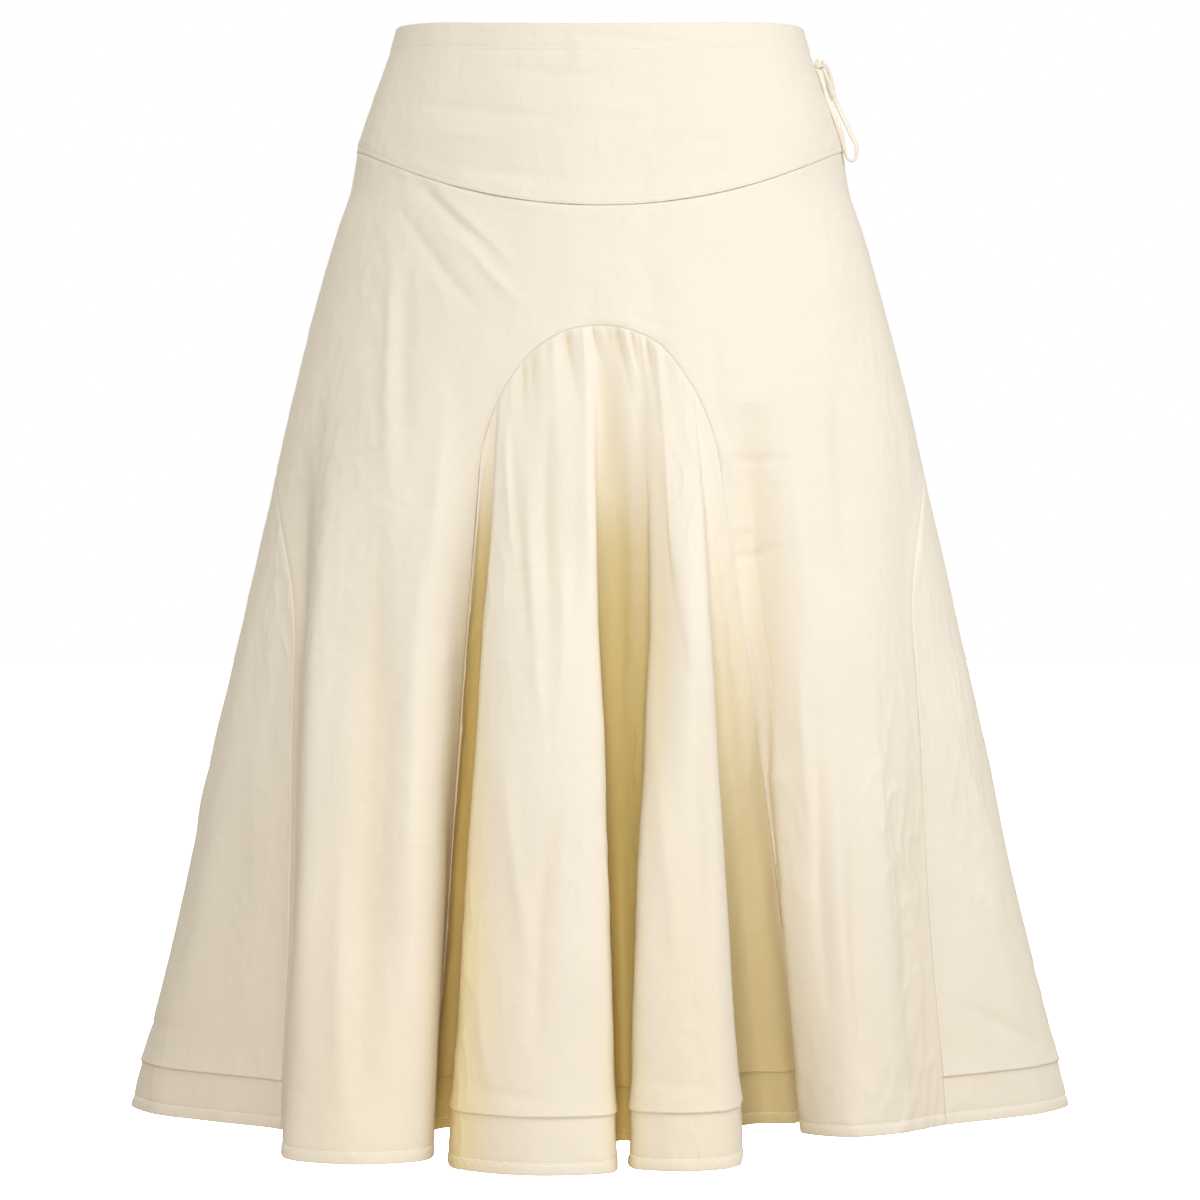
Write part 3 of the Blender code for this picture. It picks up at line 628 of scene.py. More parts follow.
def surface(angle, share):
    """Points of the cloth's middle at an angle and a share of the drop to the hem."""
    angle, share = np.broadcast_arrays(np.asarray(angle, float), np.asarray(share, float))
    lowest = hem_drop(angle)
    drop = share * lowest
    x, depth = plain_form(angle, drop)
    hem_x, hem_depth = plain_form(angle, lowest)
    run = monotone(HEM[:, 0], HEM_RUN, angle)
    start = monotone(HEM[:, 0], HEM[:, 4], angle)
    under_arch = np.abs(angle - GODET_ARCH[0]) < GODET_ARCH[1]
    sprung = np.minimum(arch_share(GODET_ARCH, angle) * lowest - FOLD_LEAD, LATEST_START)
    start = np.where(under_arch, np.maximum(start, sprung), start)
    grown = soft_start(np.clip((drop - start) / (lowest - start), 0.0, None))
    x = x + grown * (along_hem(1, run) - hem_x)
    depth = depth + grown * (along_hem(2, run) - hem_depth)
    for middle, level, half_angle, half_drop, inward, leftward in EASINGS:
        near = np.exp(-(((angle - middle) / half_angle) ** 2) - ((drop - level) / half_drop) ** 2)
        depth = depth - inward * near
        x = x + leftward * near
    return np.stack([x, -depth, -drop], axis=-1)


def outward(angle, share):
    """Directions that point out of the cloth."""
    near_angle, near_share = 0.05, 0.0005
    across = surface(angle + near_angle, share) - surface(angle - near_angle, share)
    down = surface(angle, share + near_share) - surface(angle, share - near_share)
    return unit(np.cross(down, across))


def waist_share(angle):
    """Share of the drop at the waist's edge, which dips in front."""
    front = np.clip(np.cos(np.radians(angle)), 0, 1)
    return FRONT_WAIST_DIP * front**2 / hem_drop(angle)


def yoke_share(angle):
    """Share of the drop at the yoke's lower seam, lowest at the middle of front and back."""
    middle = np.cos(np.radians(angle)) ** 2
    return (YOKE_SIDE_DROP + (YOKE_CENTRE_DROP - YOKE_SIDE_DROP) * middle) / hem_drop(angle)


def cloth_places(angle, share):
    """How far along and across the grain a point of the cloth lies, in metres."""
    run = monotone(HEM[:, 0], HEM_RUN, angle)
    waist_run = np.radians(angle) * SECTIONS[1][1]
    return np.stack([waist_run * (1 - share) + run * share, share * hem_drop(angle)], axis=-1)


def runs_across(points):
    """Lengths along each row of a grid of points, from the row's first point."""
    steps = np.linalg.norm(np.diff(points, axis=1), axis=-1)
    return np.concatenate([np.zeros((len(points), 1)), np.cumsum(steps, axis=1)], axis=1)


def edge_places(length, cells):
    """Distances along lines of cloth, close together at both ends and even between them."""
    length = np.asarray(length, float)[..., None]
    steps = np.array([0.0, *EDGE_STEPS])
    inner_cells = cells - 2 * len(steps) + 2
    even = np.linspace(0, 1, inner_cells + 1)[1:-1]
    first = np.broadcast_to(steps, (*length.shape[:-1], len(steps)))
    middle = steps[-1] + (length - 2 * steps[-1]) * even
    last = length - steps[::-1]
    return np.concatenate([first, middle, last], axis=-1)


def crumple(points, size, height, seed):
    """Soft uneven swells of the cloth, longer down the skirt than across it."""
    flat = points.reshape(-1, 3) / size
    flat[:, 2] *= 0.4
    flat[:, 0] += seed
    swell = np.array([noise.noise(Vector(place)) for place in flat])
    return height * swell.reshape(points.shape[:-1])


def rumple(points, size, height, seed):
    """Small crisp wrinkles that run mostly down the cloth, close together here and sparse there."""
    lines = 1 - 2.2 * np.abs(crumple(points, size, 1.0, seed))
    patches = np.clip(0.5 + 1.4 * crumple(points, size * 5, 1.0, seed + 50), 0, 1)
    return height * np.clip(lines, 0, 1) ** 3 * patches


def creases(table, across, drop):
    """Relief of listed creases: each is a soft ridge, or a trough below zero.

    A row gives where it starts and ends as a place across and a drop, how far it bows, its half
    width and its height.
    """
    relief = np.zeros(np.shape(across))
    for start_x, start_drop, end_x, end_drop, bow, width, height in table:
        way = np.array([end_x - start_x, end_drop - start_drop])
        length = np.hypot(*way)
        way /= length
        run = ((across - start_x) * way[0] + (drop - start_drop) * way[1]) / length
        aside = (drop - start_drop) * way[0] - (across - start_x) * way[1]
        aside = aside - bow * 4 * run * (1 - run)
        taper = np.sin(np.pi * np.clip(run, 0, 1)) ** 0.7
        relief += height * taper * np.exp(-(np.abs(aside / width) ** CREASE_CRISPNESS))
    return relief


def painted_flank_shade(table, angles, drop):
    """Painted shade in soft patches on flanks of folds: a row has an angle, a drop, their half widths, the
    amount.
    """
    shade = np.zeros(np.shape(angles))
    for middle, level, half_angle, half_drop, amount in table:
        away = ((angles - middle) / half_angle) ** 2 + ((drop - level) / half_drop) ** 2
        shade = np.maximum(shade, amount * np.exp(-away))
    return shade


def seam_roll(distance):
    """How the cloth dips into a seam, and the low welt of the allowance pressed under it."""
    height, width, softness = SEAM_WELT
    depth, dip_width = SEAM_DIP
    return height / (1 + np.exp((distance - width) / softness)) - depth * np.exp(-distance / dip_width)


def turned_edge(height, run, depth):
    """Relief of an edge turned in and stitched at a depth: rounded, fuller, and puckered."""
    fullness, softness = TURNED_FULLNESS
    turned = fullness * (0.5 - 0.5 * np.tanh((height - depth) / softness))
    edge = -EDGE_ROUND[0] * np.exp(-height / EDGE_ROUND[1])
    groove = -STITCH_GROOVE[0] * np.exp(-(((height - depth) / STITCH_GROOVE[1]) ** 2))
    rise, spacing, lean, beat = PUCKER
    rope = np.sin(2 * np.pi * (run / spacing + height / lean)) * (0.6 + 0.4 * np.sin(run * beat))
    pucker = rise * rope * np.exp(-(((height - depth * 0.75) / (depth * 0.6)) ** 2))
    return turned + edge + groove + pucker


def reach(angles, shares):
    """How far out the cloth lies, as a share of the plain form's own reach there."""
    points = surface(angles, shares)
    half_width, front, back = section_sizes(-points[..., 2])
    depth = np.where(points[..., 1] < 0, front, back)
    return np.hypot(points[..., 0] / half_width, points[..., 1] / depth)


def valley_depth(angles, shares):
    """How deep the cloth lies between the ridges at its two sides, from 0 on them to 1."""
    before, after = (
        np.max([reach(angles + side * step, shares) for step in RIDGE_SEARCH], axis=0) for side in (-1, 1)
    )
    depth = np.clip(np.minimum(before, after) - reach(angles, shares), 0, None)
    return 1 - np.exp(-((depth / DEEP_VALLEY) ** 1.3))


def line_at(points, ways, field, level):
    """The line across a grid of cloth where a field that grows from row to row has a level."""
    rows = np.arange(len(field))
    columns = np.arange(field.shape[1])
    found = np.array([np.interp(level, field[:, column], rows) for column in columns])
    row = np.clip(found.astype(int), 0, len(field) - 2)
    share = (found - row)[:, None]
    return points[row, columns] * (1 - share) + points[row + 1, columns] * share, ways[row, columns]


def sew(name, lines):
    """Topstitching along lines of cloth: the same small lozenge of thread for each stitch."""
    bm = bmesh.new()
    bmesh.ops.create_uvsphere(bm, u_segments=6, v_segments=4, radius=0.5)
    bm.verts.index_update()
    shape = np.array([vert.co for vert in bm.verts])
    sides = [[vert.index for vert in face.verts] for face in bm.faces]
    bm.free()
    corners, faces = [], []
    for places, ways in lines:
        run = run_along(places)
        begin = np.arange(STITCH_PITCH / 2, run[-1] - STITCH_PITCH, STITCH_PITCH)
        head, tail = (
            np.stack([np.interp(at, run, places[:, axis]) for axis in range(3)], axis=1)
            for at in (begin, begin + STITCH_LENGTH)
        )
        up = unit(np.stack([np.interp(begin, run, ways[:, axis]) for axis in range(3)], axis=1))
        along = tail - head
        across = unit(np.cross(up, along))
        axes = np.stack([across * STITCH_WIDTH, up * STITCH_HEIGHT, along], axis=1)
        for stitch in ((head + tail) / 2)[:, None] + shape @ axes:
            first = len(corners)
            corners.extend(stitch)
            faces.extend([first + corner for corner in side] for side in sides)
    mesh = bpy.data.meshes.new(name)
    mesh.from_pydata(corners, [], faces)
    mesh.shade_smooth()
    mesh.materials.append(thread)
    made = bpy.data.objects.new(name, mesh)
    bpy.context.scene.collection.objects.link(made)
    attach(made, "root")
    return made


def sewing_thread():
    """Soft spun thread, a little lighter than the cloth that it is sewn through."""
    material = bpy.data.materials.new("sewing_thread")
    material.use_nodes = True
    tree = material.node_tree
    shader = tree.nodes["Principled BSDF"]
    shader.inputs["Roughness"].default_value = 0.7
    shader.inputs["Sheen Weight"].default_value = 0.2
    place = node(tree, "ShaderNodeTexCoord")
    fibres = node(tree, "ShaderNodeTexNoise", scale=2600.0, detail=2.0)
    tree.links.new(place.outputs["Object"], fibres.inputs["Vector"])
    tone = node(tree, "ShaderNodeMapRange", from_min=0.3, from_max=0.7, to_min=0.93, to_max=1.0)
    tree.links.new(fibres.outputs["Fac"], tone.inputs["Value"])
    colour = node(tree, "ShaderNodeVectorMath", operation="SCALE")
    colour.inputs[0].default_value = THREAD[:3]
    tree.links.new(tone.outputs["Result"], colour.inputs["Scale"])
    tree.links.new(colour.outputs["Vector"], shader.inputs["Base Color"])
    bump = node(tree, "ShaderNodeBump", strength=0.4, distance=0.0001)
    tree.links.new(fibres.outputs["Fac"], bump.inputs["Height"])
    tree.links.new(bump.outputs["Normal"], shader.inputs["Normal"])
    return material


def cloth_piece(name, angles, shares, relief, doubled, seams, shade=0.0, painted_crease_shade=0.0):
    """One cut piece of cloth as a thin shell on the form, with its topstitched lines.

    Each seam is a slice of the grid's rows, a field that grows along them and its level there.
    The shade is how much painted golden shade its valleys get, and the crease shade how much painted shade
    its creases and gathers get.
    """
    ways = outward(angles, shares)
    points = surface(angles, shares) + ways * (WALL / 2 + relief)[..., None]
    # Painted shade: golden in the valleys and in the troughs of creases and gathers, kept in the valley
    # attribute.
    painted_shade = np.maximum(shade * valley_depth(angles, shares), painted_crease_shade)
    fields = [("valley", painted_shade), ("doubled", doubled)]
    piece = lay_grid(f"{name}_cloth", points, ways, cloth_places(angles, shares), fields)
    piece.data.materials.append(cotton)
    layers = np.empty(len(piece.data.vertices))
    piece.data.attributes["doubled"].data.foreach_get("value", layers)
    turned = piece.vertex_groups.new(name="turned_edge")
    turned.add(np.nonzero(layers > 0.5)[0].tolist(), 1.0, "REPLACE")
    wall = piece.modifiers.new("wall", "SOLIDIFY")
    wall.thickness = WALL
    wall.offset = -1.0
    wall.vertex_group = turned.name
    wall.thickness_vertex_group = SINGLE_CLOTH / WALL
    lines = [line_at(points[rows], ways[rows], field[rows], level) for rows, field, level in seams]
    stitches = sew(f"{name}_stitches", lines)
    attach(piece, "root")
    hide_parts(name)


WAIST_TURN = 0.017
YOKE_STITCH = 0.0020
YOKE_CELLS = (190, 58)
# The yoke's lower edge, turned in over the panel: its fuller cloth, how far up it reaches and how
# softly it ends; its puckers' height, how far apart they are and the beat of their height; where
# above the seam they are and how far they spread; and the stitches' groove and its width
YOKE_LAP = (0.00045, 0.010, 0.0012)
YOKE_PUCKER = (0.00030, 0.0085, 37.0)
YOKE_PUCKER_PLACE = (0.005, 0.006)
YOKE_GROOVE = (0.00030, 0.0007)
# Swells and small wrinkles of the cloth: size and height
YOKE_SWELL = (0.030, 0.0009)
YOKE_RUMPLE = (0.011, 0.00045)
YOKE_WRINKLES = (
    # from x, drop to x, drop, bow, half width, height
    (-0.125, 0.058, -0.020, 0.074, 0.002, 0.0045, -0.00132),
    (-0.110, 0.078, -0.060, 0.086, 0.001, 0.0035, 0.00088),
    (-0.070, 0.040, 0.010, 0.048, -0.001, 0.0040, -0.00099),
    (-0.090, 0.104, -0.020, 0.112, 0.002, 0.0045, -0.00121),
    (-0.015, 0.019, 0.060, 0.023, 0.000, 0.0028, -0.00132),
    (-0.030, 0.062, 0.035, 0.067, 0.001, 0.0050, 0.00077),
    (0.030, 0.095, 0.090, 0.086, -0.002, 0.0050, -0.00077),
)


def yoke_grid(low_angle, high_angle):
    """Angles and shares of a yoke, between the waist and its lower seam."""
    columns, rows = YOKE_CELLS
    line = np.linspace(low_angle, high_angle, 400)
    run = run_along(surface(line, yoke_share(line)))
    angles = np.interp(edge_places(run[-1], columns), run, line)
    top, bottom = waist_share(angles), yoke_share(angles)
    fall = hem_drop(angles)
    down = edge_places((bottom - top) * fall, rows).T
    shares = top + down / fall
    return np.broadcast_to(angles, shares.shape).copy(), shares


def yoke_relief(angles, shares, wrinkles, seed):
    """Relief of a yoke with its turned waist edge and lapped lower edge, and its stitched lines."""
    fall = hem_drop(angles)
    below_waist = (shares - waist_share(angles)) * fall
    above_seam = (yoke_share(angles) - shares) * fall
    base = surface(angles, shares)
    run = cloth_places(angles, shares)[..., 0]
    relief = turned_edge(below_waist, run, WAIST_TURN)
    fullness, width, softness = YOKE_LAP
    lapped = fullness / (1 + np.exp((above_seam - width) / softness))
    rise, spacing, beat = YOKE_PUCKER
    pucker = rise * np.sin(run * 2 * np.pi / spacing) * np.sin(run * beat)
    level, spread = YOKE_PUCKER_PLACE
    relief += lapped + pucker * np.exp(-(((above_seam - level) / spread) ** 2))
    relief -= EDGE_ROUND[0] * np.exp(-above_seam / EDGE_ROUND[1])
    relief -= YOKE_GROOVE[0] * np.exp(-(((above_seam - YOKE_STITCH) / YOKE_GROOVE[1]) ** 2))
    relief += creases(wrinkles, base[..., 0], -base[..., 2])
    relief += crumple(base, *YOKE_SWELL, seed) + rumple(base, *YOKE_RUMPLE, seed + 2)
    seams = [
        (slice(None), below_waist, WAIST_TURN),
        (slice(None), -above_seam, -YOKE_STITCH),
    ]
    return relief, (below_waist < WAIST_TURN).astype(float), seams


cotton = cotton_cloth("cream_cotton")
thread = sewing_thread()
angles, shares = yoke_grid(-90.0, 90.0)
relief, turned, seams = yoke_relief(angles, shares, YOKE_WRINKLES, 3.0)
cloth_piece("front_yoke", angles, shares, relief, turned, seams=seams)

# The back yoke: the same shaped band of firm cotton behind, turned in and topstitched in the same
# way, and sewn to the front one down the two sides.
BACK_YOKE_WRINKLES = (
    # from x, drop to x, drop, bow, half width, height
    (0.100, 0.060, 0.015, 0.072, 0.002, 0.0045, -0.00110),
    (0.060, 0.085, -0.020, 0.094, 0.001, 0.0045, 0.00088),
    (-0.020, 0.045, -0.095, 0.055, -0.001, 0.0040, -0.00099),
    (-0.040, 0.100, -0.110, 0.092, 0.002, 0.0045, -0.00110),
)
angles, shares = yoke_grid(90.0, 270.0)
relief, turned, seams = yoke_relief(angles, shares, BACK_YOKE_WRINKLES, 9.0)
cloth_piece("back_yoke", angles, shares, relief, turned, seams=seams)

# The godet at the front: a full insert set into the panel's arch, eased in with small gathers,
# so that it falls in two deep folds. A tuck is pressed down above its turned hem.
GODET_BAND = 0.0345
GODET_CELLS = (250, 160)
HEM_TURN = 0.0070
HEM_HEIGHTS = (0.0, 0.0004, 0.0009, 0.0018, 0.0032, 0.0048, 0.0060, 0.0066, 0.0072, 0.0080, 0.0095, 0.0120)
TUCK_RISE = 0.026
TUCK_LIFT = 0.0014
# How far the columns of an arched piece are even along its hem, and for the rest even in angle
EVEN_AT_HEM = 0.75
ROWS_UNDER_TUCK = 6
# Swells and small wrinkles of the cloth: size, height, and the seed that they are read with
GODET_SWELL = (0.030, 0.0011, 5.0)
GODET_RUMPLE = (0.012, 0.00070, 6.0)
# The tuck from its slope down to the cloth under it: height over its lip, lift off the form
TUCK_PROFILE = (
    (0.0030, 0.00112),
    (0.0015, 0.00128),
    (0.0006, 0.00138),
    (0.0001, 0.00138),
    (-0.0002, 0.00115),
    (0.0000, 0.00085),
    (0.0010, 0.00060),
    (0.0014, 0.00025),
    (0.0008, 0.00000),
    (-0.0006, -0.00005),
    (-0.0020, 0.00000),
)
# How soon a gather stands up below the seam, how fast it dies away, and how crisp it is
GATHER_START = 0.0025
GATHER_FALL = (2.2, 1.3)
GATHER_CRISPNESS = 1.2
GATHERS = (
    # x at the seam, lean of its foot, length, half width, height
    (-0.0570, 0.0010, 0.022, 0.0018, 0.00122),
    (-0.0495, 0.0020, 0.034, 0.0020, -0.0023),
    (-0.0435, 0.0030, 0.044, 0.0018, -0.0019),
    (-0.0385, 0.0020, 0.022, 0.0016, 0.0016),
    (-0.0305, 0.0050, 0.070, 0.0026, 0.0018),
    (-0.0215, 0.0090, 0.056, 0.0021, -0.0028),
    (-0.0180, 0.0060, 0.024, 0.0015, 0.0015),
    (-0.0115, 0.0050, 0.090, 0.0030, 0.0024),
    (-0.0050, 0.0080, 0.034, 0.0015, -0.0026),
    (-0.0005, 0.0060, 0.018, 0.0011, 0.0014),
    (0.0045, 0.0050, 0.026, 0.0013, -0.0022),
    (0.0110, 0.0100, 0.046, 0.0015, -0.0035),
    (0.0150, 0.0080, 0.030, 0.0012, 0.0022),
    (0.0200, 0.0050, 0.026, 0.0013, -0.0029),
    (0.0255, 0.0070, 0.040, 0.0015, 0.0022),
    (0.0300, 0.0080, 0.052, 0.0016, -0.0030),
    (0.0345, 0.0120, 0.090, 0.0024, 0.0030),
    (0.0420, 0.0050, 0.030, 0.0018, -0.00122),
    (0.0480, 0.0040, 0.022, 0.0018, 0.00108),
)
GODET_WRINKLES = (
    # from x, drop to x, drop, bow, half width, height
    (-0.0110, 0.2000, -0.0060, 0.4000, 0.000, 0.0060, 0.0042),
    (0.0040, 0.2150, 0.0130, 0.4600, 0.001, 0.0110, -0.0059),
    (0.0350, 0.2150, 0.0560, 0.4300, 0.002, 0.0070, 0.0042),
    (-0.0600, 0.2700, -0.0520, 0.3700, 0.002, 0.0030, 0.0017),
    (-0.0560, 0.2800, -0.0400, 0.4300, 0.003, 0.0032, -0.0021),
    (-0.0460, 0.3000, -0.0360, 0.4700, 0.002, 0.0034, 0.0018),
    (-0.0330, 0.2700, -0.0300, 0.4200, 0.002, 0.0040, -0.0020),
    (-0.0240, 0.3500, -0.0260, 0.4700, -0.002, 0.0034, 0.0014),
    (-0.0600, 0.4800, -0.0420, 0.6200, 0.002, 0.0055, 0.0020),
    (-0.0300, 0.5200, -0.0380, 0.6700, 0.003, 0.0055, -0.0020),
    (-0.0740, 0.6100, -0.0660, 0.6950, 0.002, 0.0045, 0.0017),
    (0.0400, 0.3100, 0.0560, 0.4400, 0.001, 0.0040, -0.0017),
    (0.0300, 0.4200, 0.0500, 0.6200, 0.002, 0.0055, 0.0017),
    (0.0640, 0.4200, 0.0700, 0.6800, 0.002, 0.0060, -0.0022),
    (0.0560, 0.5600, 0.0620, 0.6900, 0.002, 0.0045, -0.0017),
    (-0.0800, 0.6890, -0.0300, 0.6930, 0.000, 0.0030, -0.00112),
    (0.0280, 0.6840, 0.0700, 0.6880, 0.000, 0.0030, -0.00112),
)


def gathered(table, across, from_seam):
    """Relief of small gathers that spring from a seam and die away as they run down the cloth."""
    relief = np.zeros(np.shape(across))
    for x, lean, length, width, height in table:
        run = from_seam / length
        aside = across - x - lean * run
        spread = width * (1 + 0.5 * np.clip(run, 0, 1))
        fade = (1 - np.exp(-from_seam / GATHER_START)) * np.exp(-GATHER_FALL[0] * run ** GATHER_FALL[1])
        relief += height * fade * np.exp(-(np.abs(aside / spread) ** GATHER_CRISPNESS))
    return relief


def arch_grid(arch, cells, band):
    """Angles, shares and lift of an arched piece from its seam, over its tuck, to its hem."""
    columns, rows = cells
    middle, half = arch[:2]
    line = np.linspace(middle - half, middle + half, 800)
    at_hem = run_along(surface(line, 1.0))
    even = np.interp(edge_places(at_hem[-1], columns), at_hem, line)
    angles = EVEN_AT_HEM * even + (1 - EVEN_AT_HEM) * np.linspace(middle - half, middle + half, columns + 1)
    fall = hem_drop(angles)
    top = arch_share(arch, angles)
    lip = 1 - (band + TUCK_PROFILE[0][0]) / fall
    down = edge_places((lip - top) * fall, rows).T[: rows - len(EDGE_STEPS) + 1]
    shares = [top + step / fall for step in down]
    lifts = []
    for share in shares:
        rise = (1 - share) * fall - band
        lifts.append(TUCK_LIFT * np.clip(1 - rise / TUCK_RISE, 0, 1) ** 2)
    for height, lift in TUCK_PROFILE:
        shares.append(1 - (band + height) / fall)
        lifts.append(np.full(len(angles), lift))
    lower = np.linspace(band + TUCK_PROFILE[-1][0], HEM_HEIGHTS[-1], ROWS_UNDER_TUCK + 2)[1:-1]
    for height in [*lower, *HEM_HEIGHTS[::-1]]:
        shares.append(1 - height / fall)
        lifts.append(np.zeros(len(angles)))
    shares = np.array(shares)
    return np.broadcast_to(angles, shares.shape).copy(), shares, np.array(lifts)


def arch_distance(arch, angles, shares):
    """Distance of points of an arched piece from its seam, over the top or down its sides."""
    fall = hem_drop(angles)
    below = (shares - arch_share(arch, angles)) * fall
    near = 0.2
    slope_drop = (arch_share(arch, angles + near) - arch_share(arch, angles - near)) * fall
    width = np.linalg.norm(surface(angles + near, shares) - surface(angles - near, shares), axis=-1)
    over_top = below / np.hypot(1, slope_drop / width)
    from_left = runs_across(surface(angles, shares))
    from_right = from_left[:, -1:] - from_left
    return np.minimum(over_top, np.minimum(from_left, from_right))


def sewn(angles, shares, from_seam):
    """Height over the hem, how clear of its seams the cloth is, and relief of seams and hem."""
    height = (1 - shares) * hem_drop(angles)
    clear = np.clip(from_seam / SEAM_CLEAR, 0, 1)
    relief = seam_roll(from_seam) + turned_edge(height, cloth_places(angles, shares)[..., 0], HEM_TURN)
    return height, clear, relief


def turned_up(height):
    """Where the hem is turned up, and the cloth is double."""
    return (height < HEM_TURN).astype(float)


# The valleys get a painted golden shade from this distance off the seam and from this drop, over this far,
# and less of it at the godet's left side, from this x over this far by this share. Gathers and creases
# get a painted shade of their own, the gathers' full from this depth on, and the folds' flanks get
# painted shade in soft patches.
PAINTED_SHADE_EDGE = 0.007
PALE_TOP = 0.200
PAINTED_SHADE_FALL = 0.15
PALE_SIDE = (0.055, 0.030, 0.28)
GATHER_PAINTED_SHADE = 0.50
GATHER_DEPTH = 0.0030
GODET_PAINTED_CREASE_SHADE = 0.50
GODET_PAINTED_SHADES = (
    # angle, drop, half angle, half drop, amount
    (9.2, 0.420, 2.0, 0.130, 0.42),
    (13.5, 0.680, 4.0, 0.160, 0.17),
    (-14.0, 0.640, 3.0, 0.160, 0.06),
)

angles, shares, lift = arch_grid(GODET_ARCH, GODET_CELLS, GODET_BAND)
base = surface(angles, shares)
drops = -base[..., 2]
from_seam = arch_distance(GODET_ARCH, angles, shares)
height, clear, relief = sewn(angles, shares, from_seam)
gathers = gathered(GATHERS, base[..., 0], from_seam)
folds = creases(GODET_WRINKLES, base[..., 0], drops) * clear
relief += lift * clear + gathers + folds
relief += (crumple(base, *GODET_SWELL) + rumple(base, *GODET_RUMPLE)) * clear
# Painted shade in the troughs of creases and gathers, and in soft patches on the folds' flanks.
painted_crease_shade = GODET_PAINTED_CREASE_SHADE * np.clip(-folds / CREASE_DEPTH, 0, 1)
painted_crease_shade = np.maximum(painted_crease_shade, GATHER_PAINTED_SHADE * np.clip(-gathers / GATHER_DEPTH, 0, 1))
painted_crease_shade = np.maximum(painted_crease_shade, painted_flank_shade(GODET_PAINTED_SHADES, angles, drops) * clear)
# Painted golden shade of the valleys: none at the seam, fading in below the top and less at the left side.
painted_shade = np.clip(from_seam / PAINTED_SHADE_EDGE, 0, 1) ** 2
painted_shade *= np.clip((drops - PALE_TOP) / PAINTED_SHADE_FALL, 0, 1) ** 1.5
painted_shade *= 1 - PALE_SIDE[2] * np.clip((base[..., 0] - PALE_SIDE[0]) / PALE_SIDE[1], 0, 1)
tucked_hem_rows = len(HEM_HEIGHTS) + ROWS_UNDER_TUCK
seams = [(slice(-tucked_hem_rows, None), -height, -HEM_TURN)]
cloth_piece(
    "front_godet",
    angles,
    shares,
    relief,
    turned_up(height),
    seams=seams,
    shade=painted_shade,
    painted_crease_shade=painted_crease_shade,
)

# The side inserts: smaller arched godets over the side seams, plain at the top, with the same
# tuck pressed down above the turned hem.
RIGHT_ARCH = (-90.0, 22.0, 0.298, 0.120, 2.0)
LEFT_ARCH = (90.0, 22.0, 0.298, 0.120, 2.0)
INSERT_BAND = 0.0310
INSERT_CELLS = (112, 130)
INSERT_SWELL = (0.030, 0.0011)
INSERT_RUMPLE = (0.012, 0.00065)
RIGHT_INSERT_WRINKLES = (
    # from depth, drop to depth, drop, bow, half width, height
    (0.090, 0.470, 0.040, 0.560, 0.002, 0.0050, 0.00119),
    (0.085, 0.540, 0.020, 0.640, 0.003, 0.0060, -0.00153),
    (0.030, 0.480, -0.030, 0.590, 0.002, 0.0060, 0.00136),
    (0.010, 0.380, -0.010, 0.470, 0.002, 0.0050, -0.00102),
    (-0.075, 0.560, -0.030, 0.680, 0.002, 0.0060, -0.00136),
    (-0.085, 0.470, -0.050, 0.560, 0.002, 0.0050, 0.00119),
    (0.070, 0.672, -0.050, 0.676, 0.000, 0.0030, -0.00085),
)
LEFT_INSERT_WRINKLES = (
    # from depth, drop to depth, drop, bow, half width, height
    (0.085, 0.420, 0.045, 0.520, 0.002, 0.0045, -0.0017),
    (0.072, 0.435, 0.030, 0.560, 0.002, 0.0050, 0.00153),
    (0.080, 0.500, 0.050, 0.590, 0.001, 0.0040, -0.00136),
    (0.075, 0.560, 0.015, 0.640, 0.002, 0.0060, 0.00136),
    (0.080, 0.655, 0.030, 0.690, 0.001, 0.0040, -0.00153),
    (0.000, 0.400, -0.030, 0.540, 0.002, 0.0060, -0.00119),
    (-0.060, 0.500, -0.020, 0.640, 0.002, 0.0060, -0.00136),
    (-0.085, 0.570, -0.055, 0.680, 0.002, 0.0050, 0.00119),
)
for insert_name, arch, wrinkles, insert_area, seed in (
    ("right_insert", RIGHT_ARCH, RIGHT_INSERT_WRINKLES, 0.0985, 21.0),
    ("left_insert", LEFT_ARCH, LEFT_INSERT_WRINKLES, 0.0903, 27.0),
):
    angles, shares, lift = arch_grid(arch, INSERT_CELLS, INSERT_BAND)
    base = surface(angles, shares)
    height, clear, relief = sewn(angles, shares, arch_distance(arch, angles, shares))
    relief += (lift + creases(wrinkles, -base[..., 1], -base[..., 2])) * clear
    relief += (crumple(base, *INSERT_SWELL, seed) + rumple(base, *INSERT_RUMPLE, seed + 2)) * clear
    seams = [(slice(-tucked_hem_rows, None), -height, -HEM_TURN)]
    cloth_piece(
        insert_name,
        angles,
        shares,
        relief,
        turned_up(height),
        seams=seams,
    )

# The front panel: one piece from side to side, with the godet's arch cut out of its lower
# middle, joined to the yoke above and to the side inserts. Its turned hem is stitched.
PANEL_CELLS = 80
PANEL_SWELL = (0.034, 0.0012, 33.0)
PANEL_RUMPLE = (0.012, 0.00070, 35.0)
# Painted shade: how golden the panel's valleys and the troughs of its creases are painted.
PANEL_PAINTED_SHADE = 0.25
PANEL_PAINTED_CREASE_SHADE = 0.17
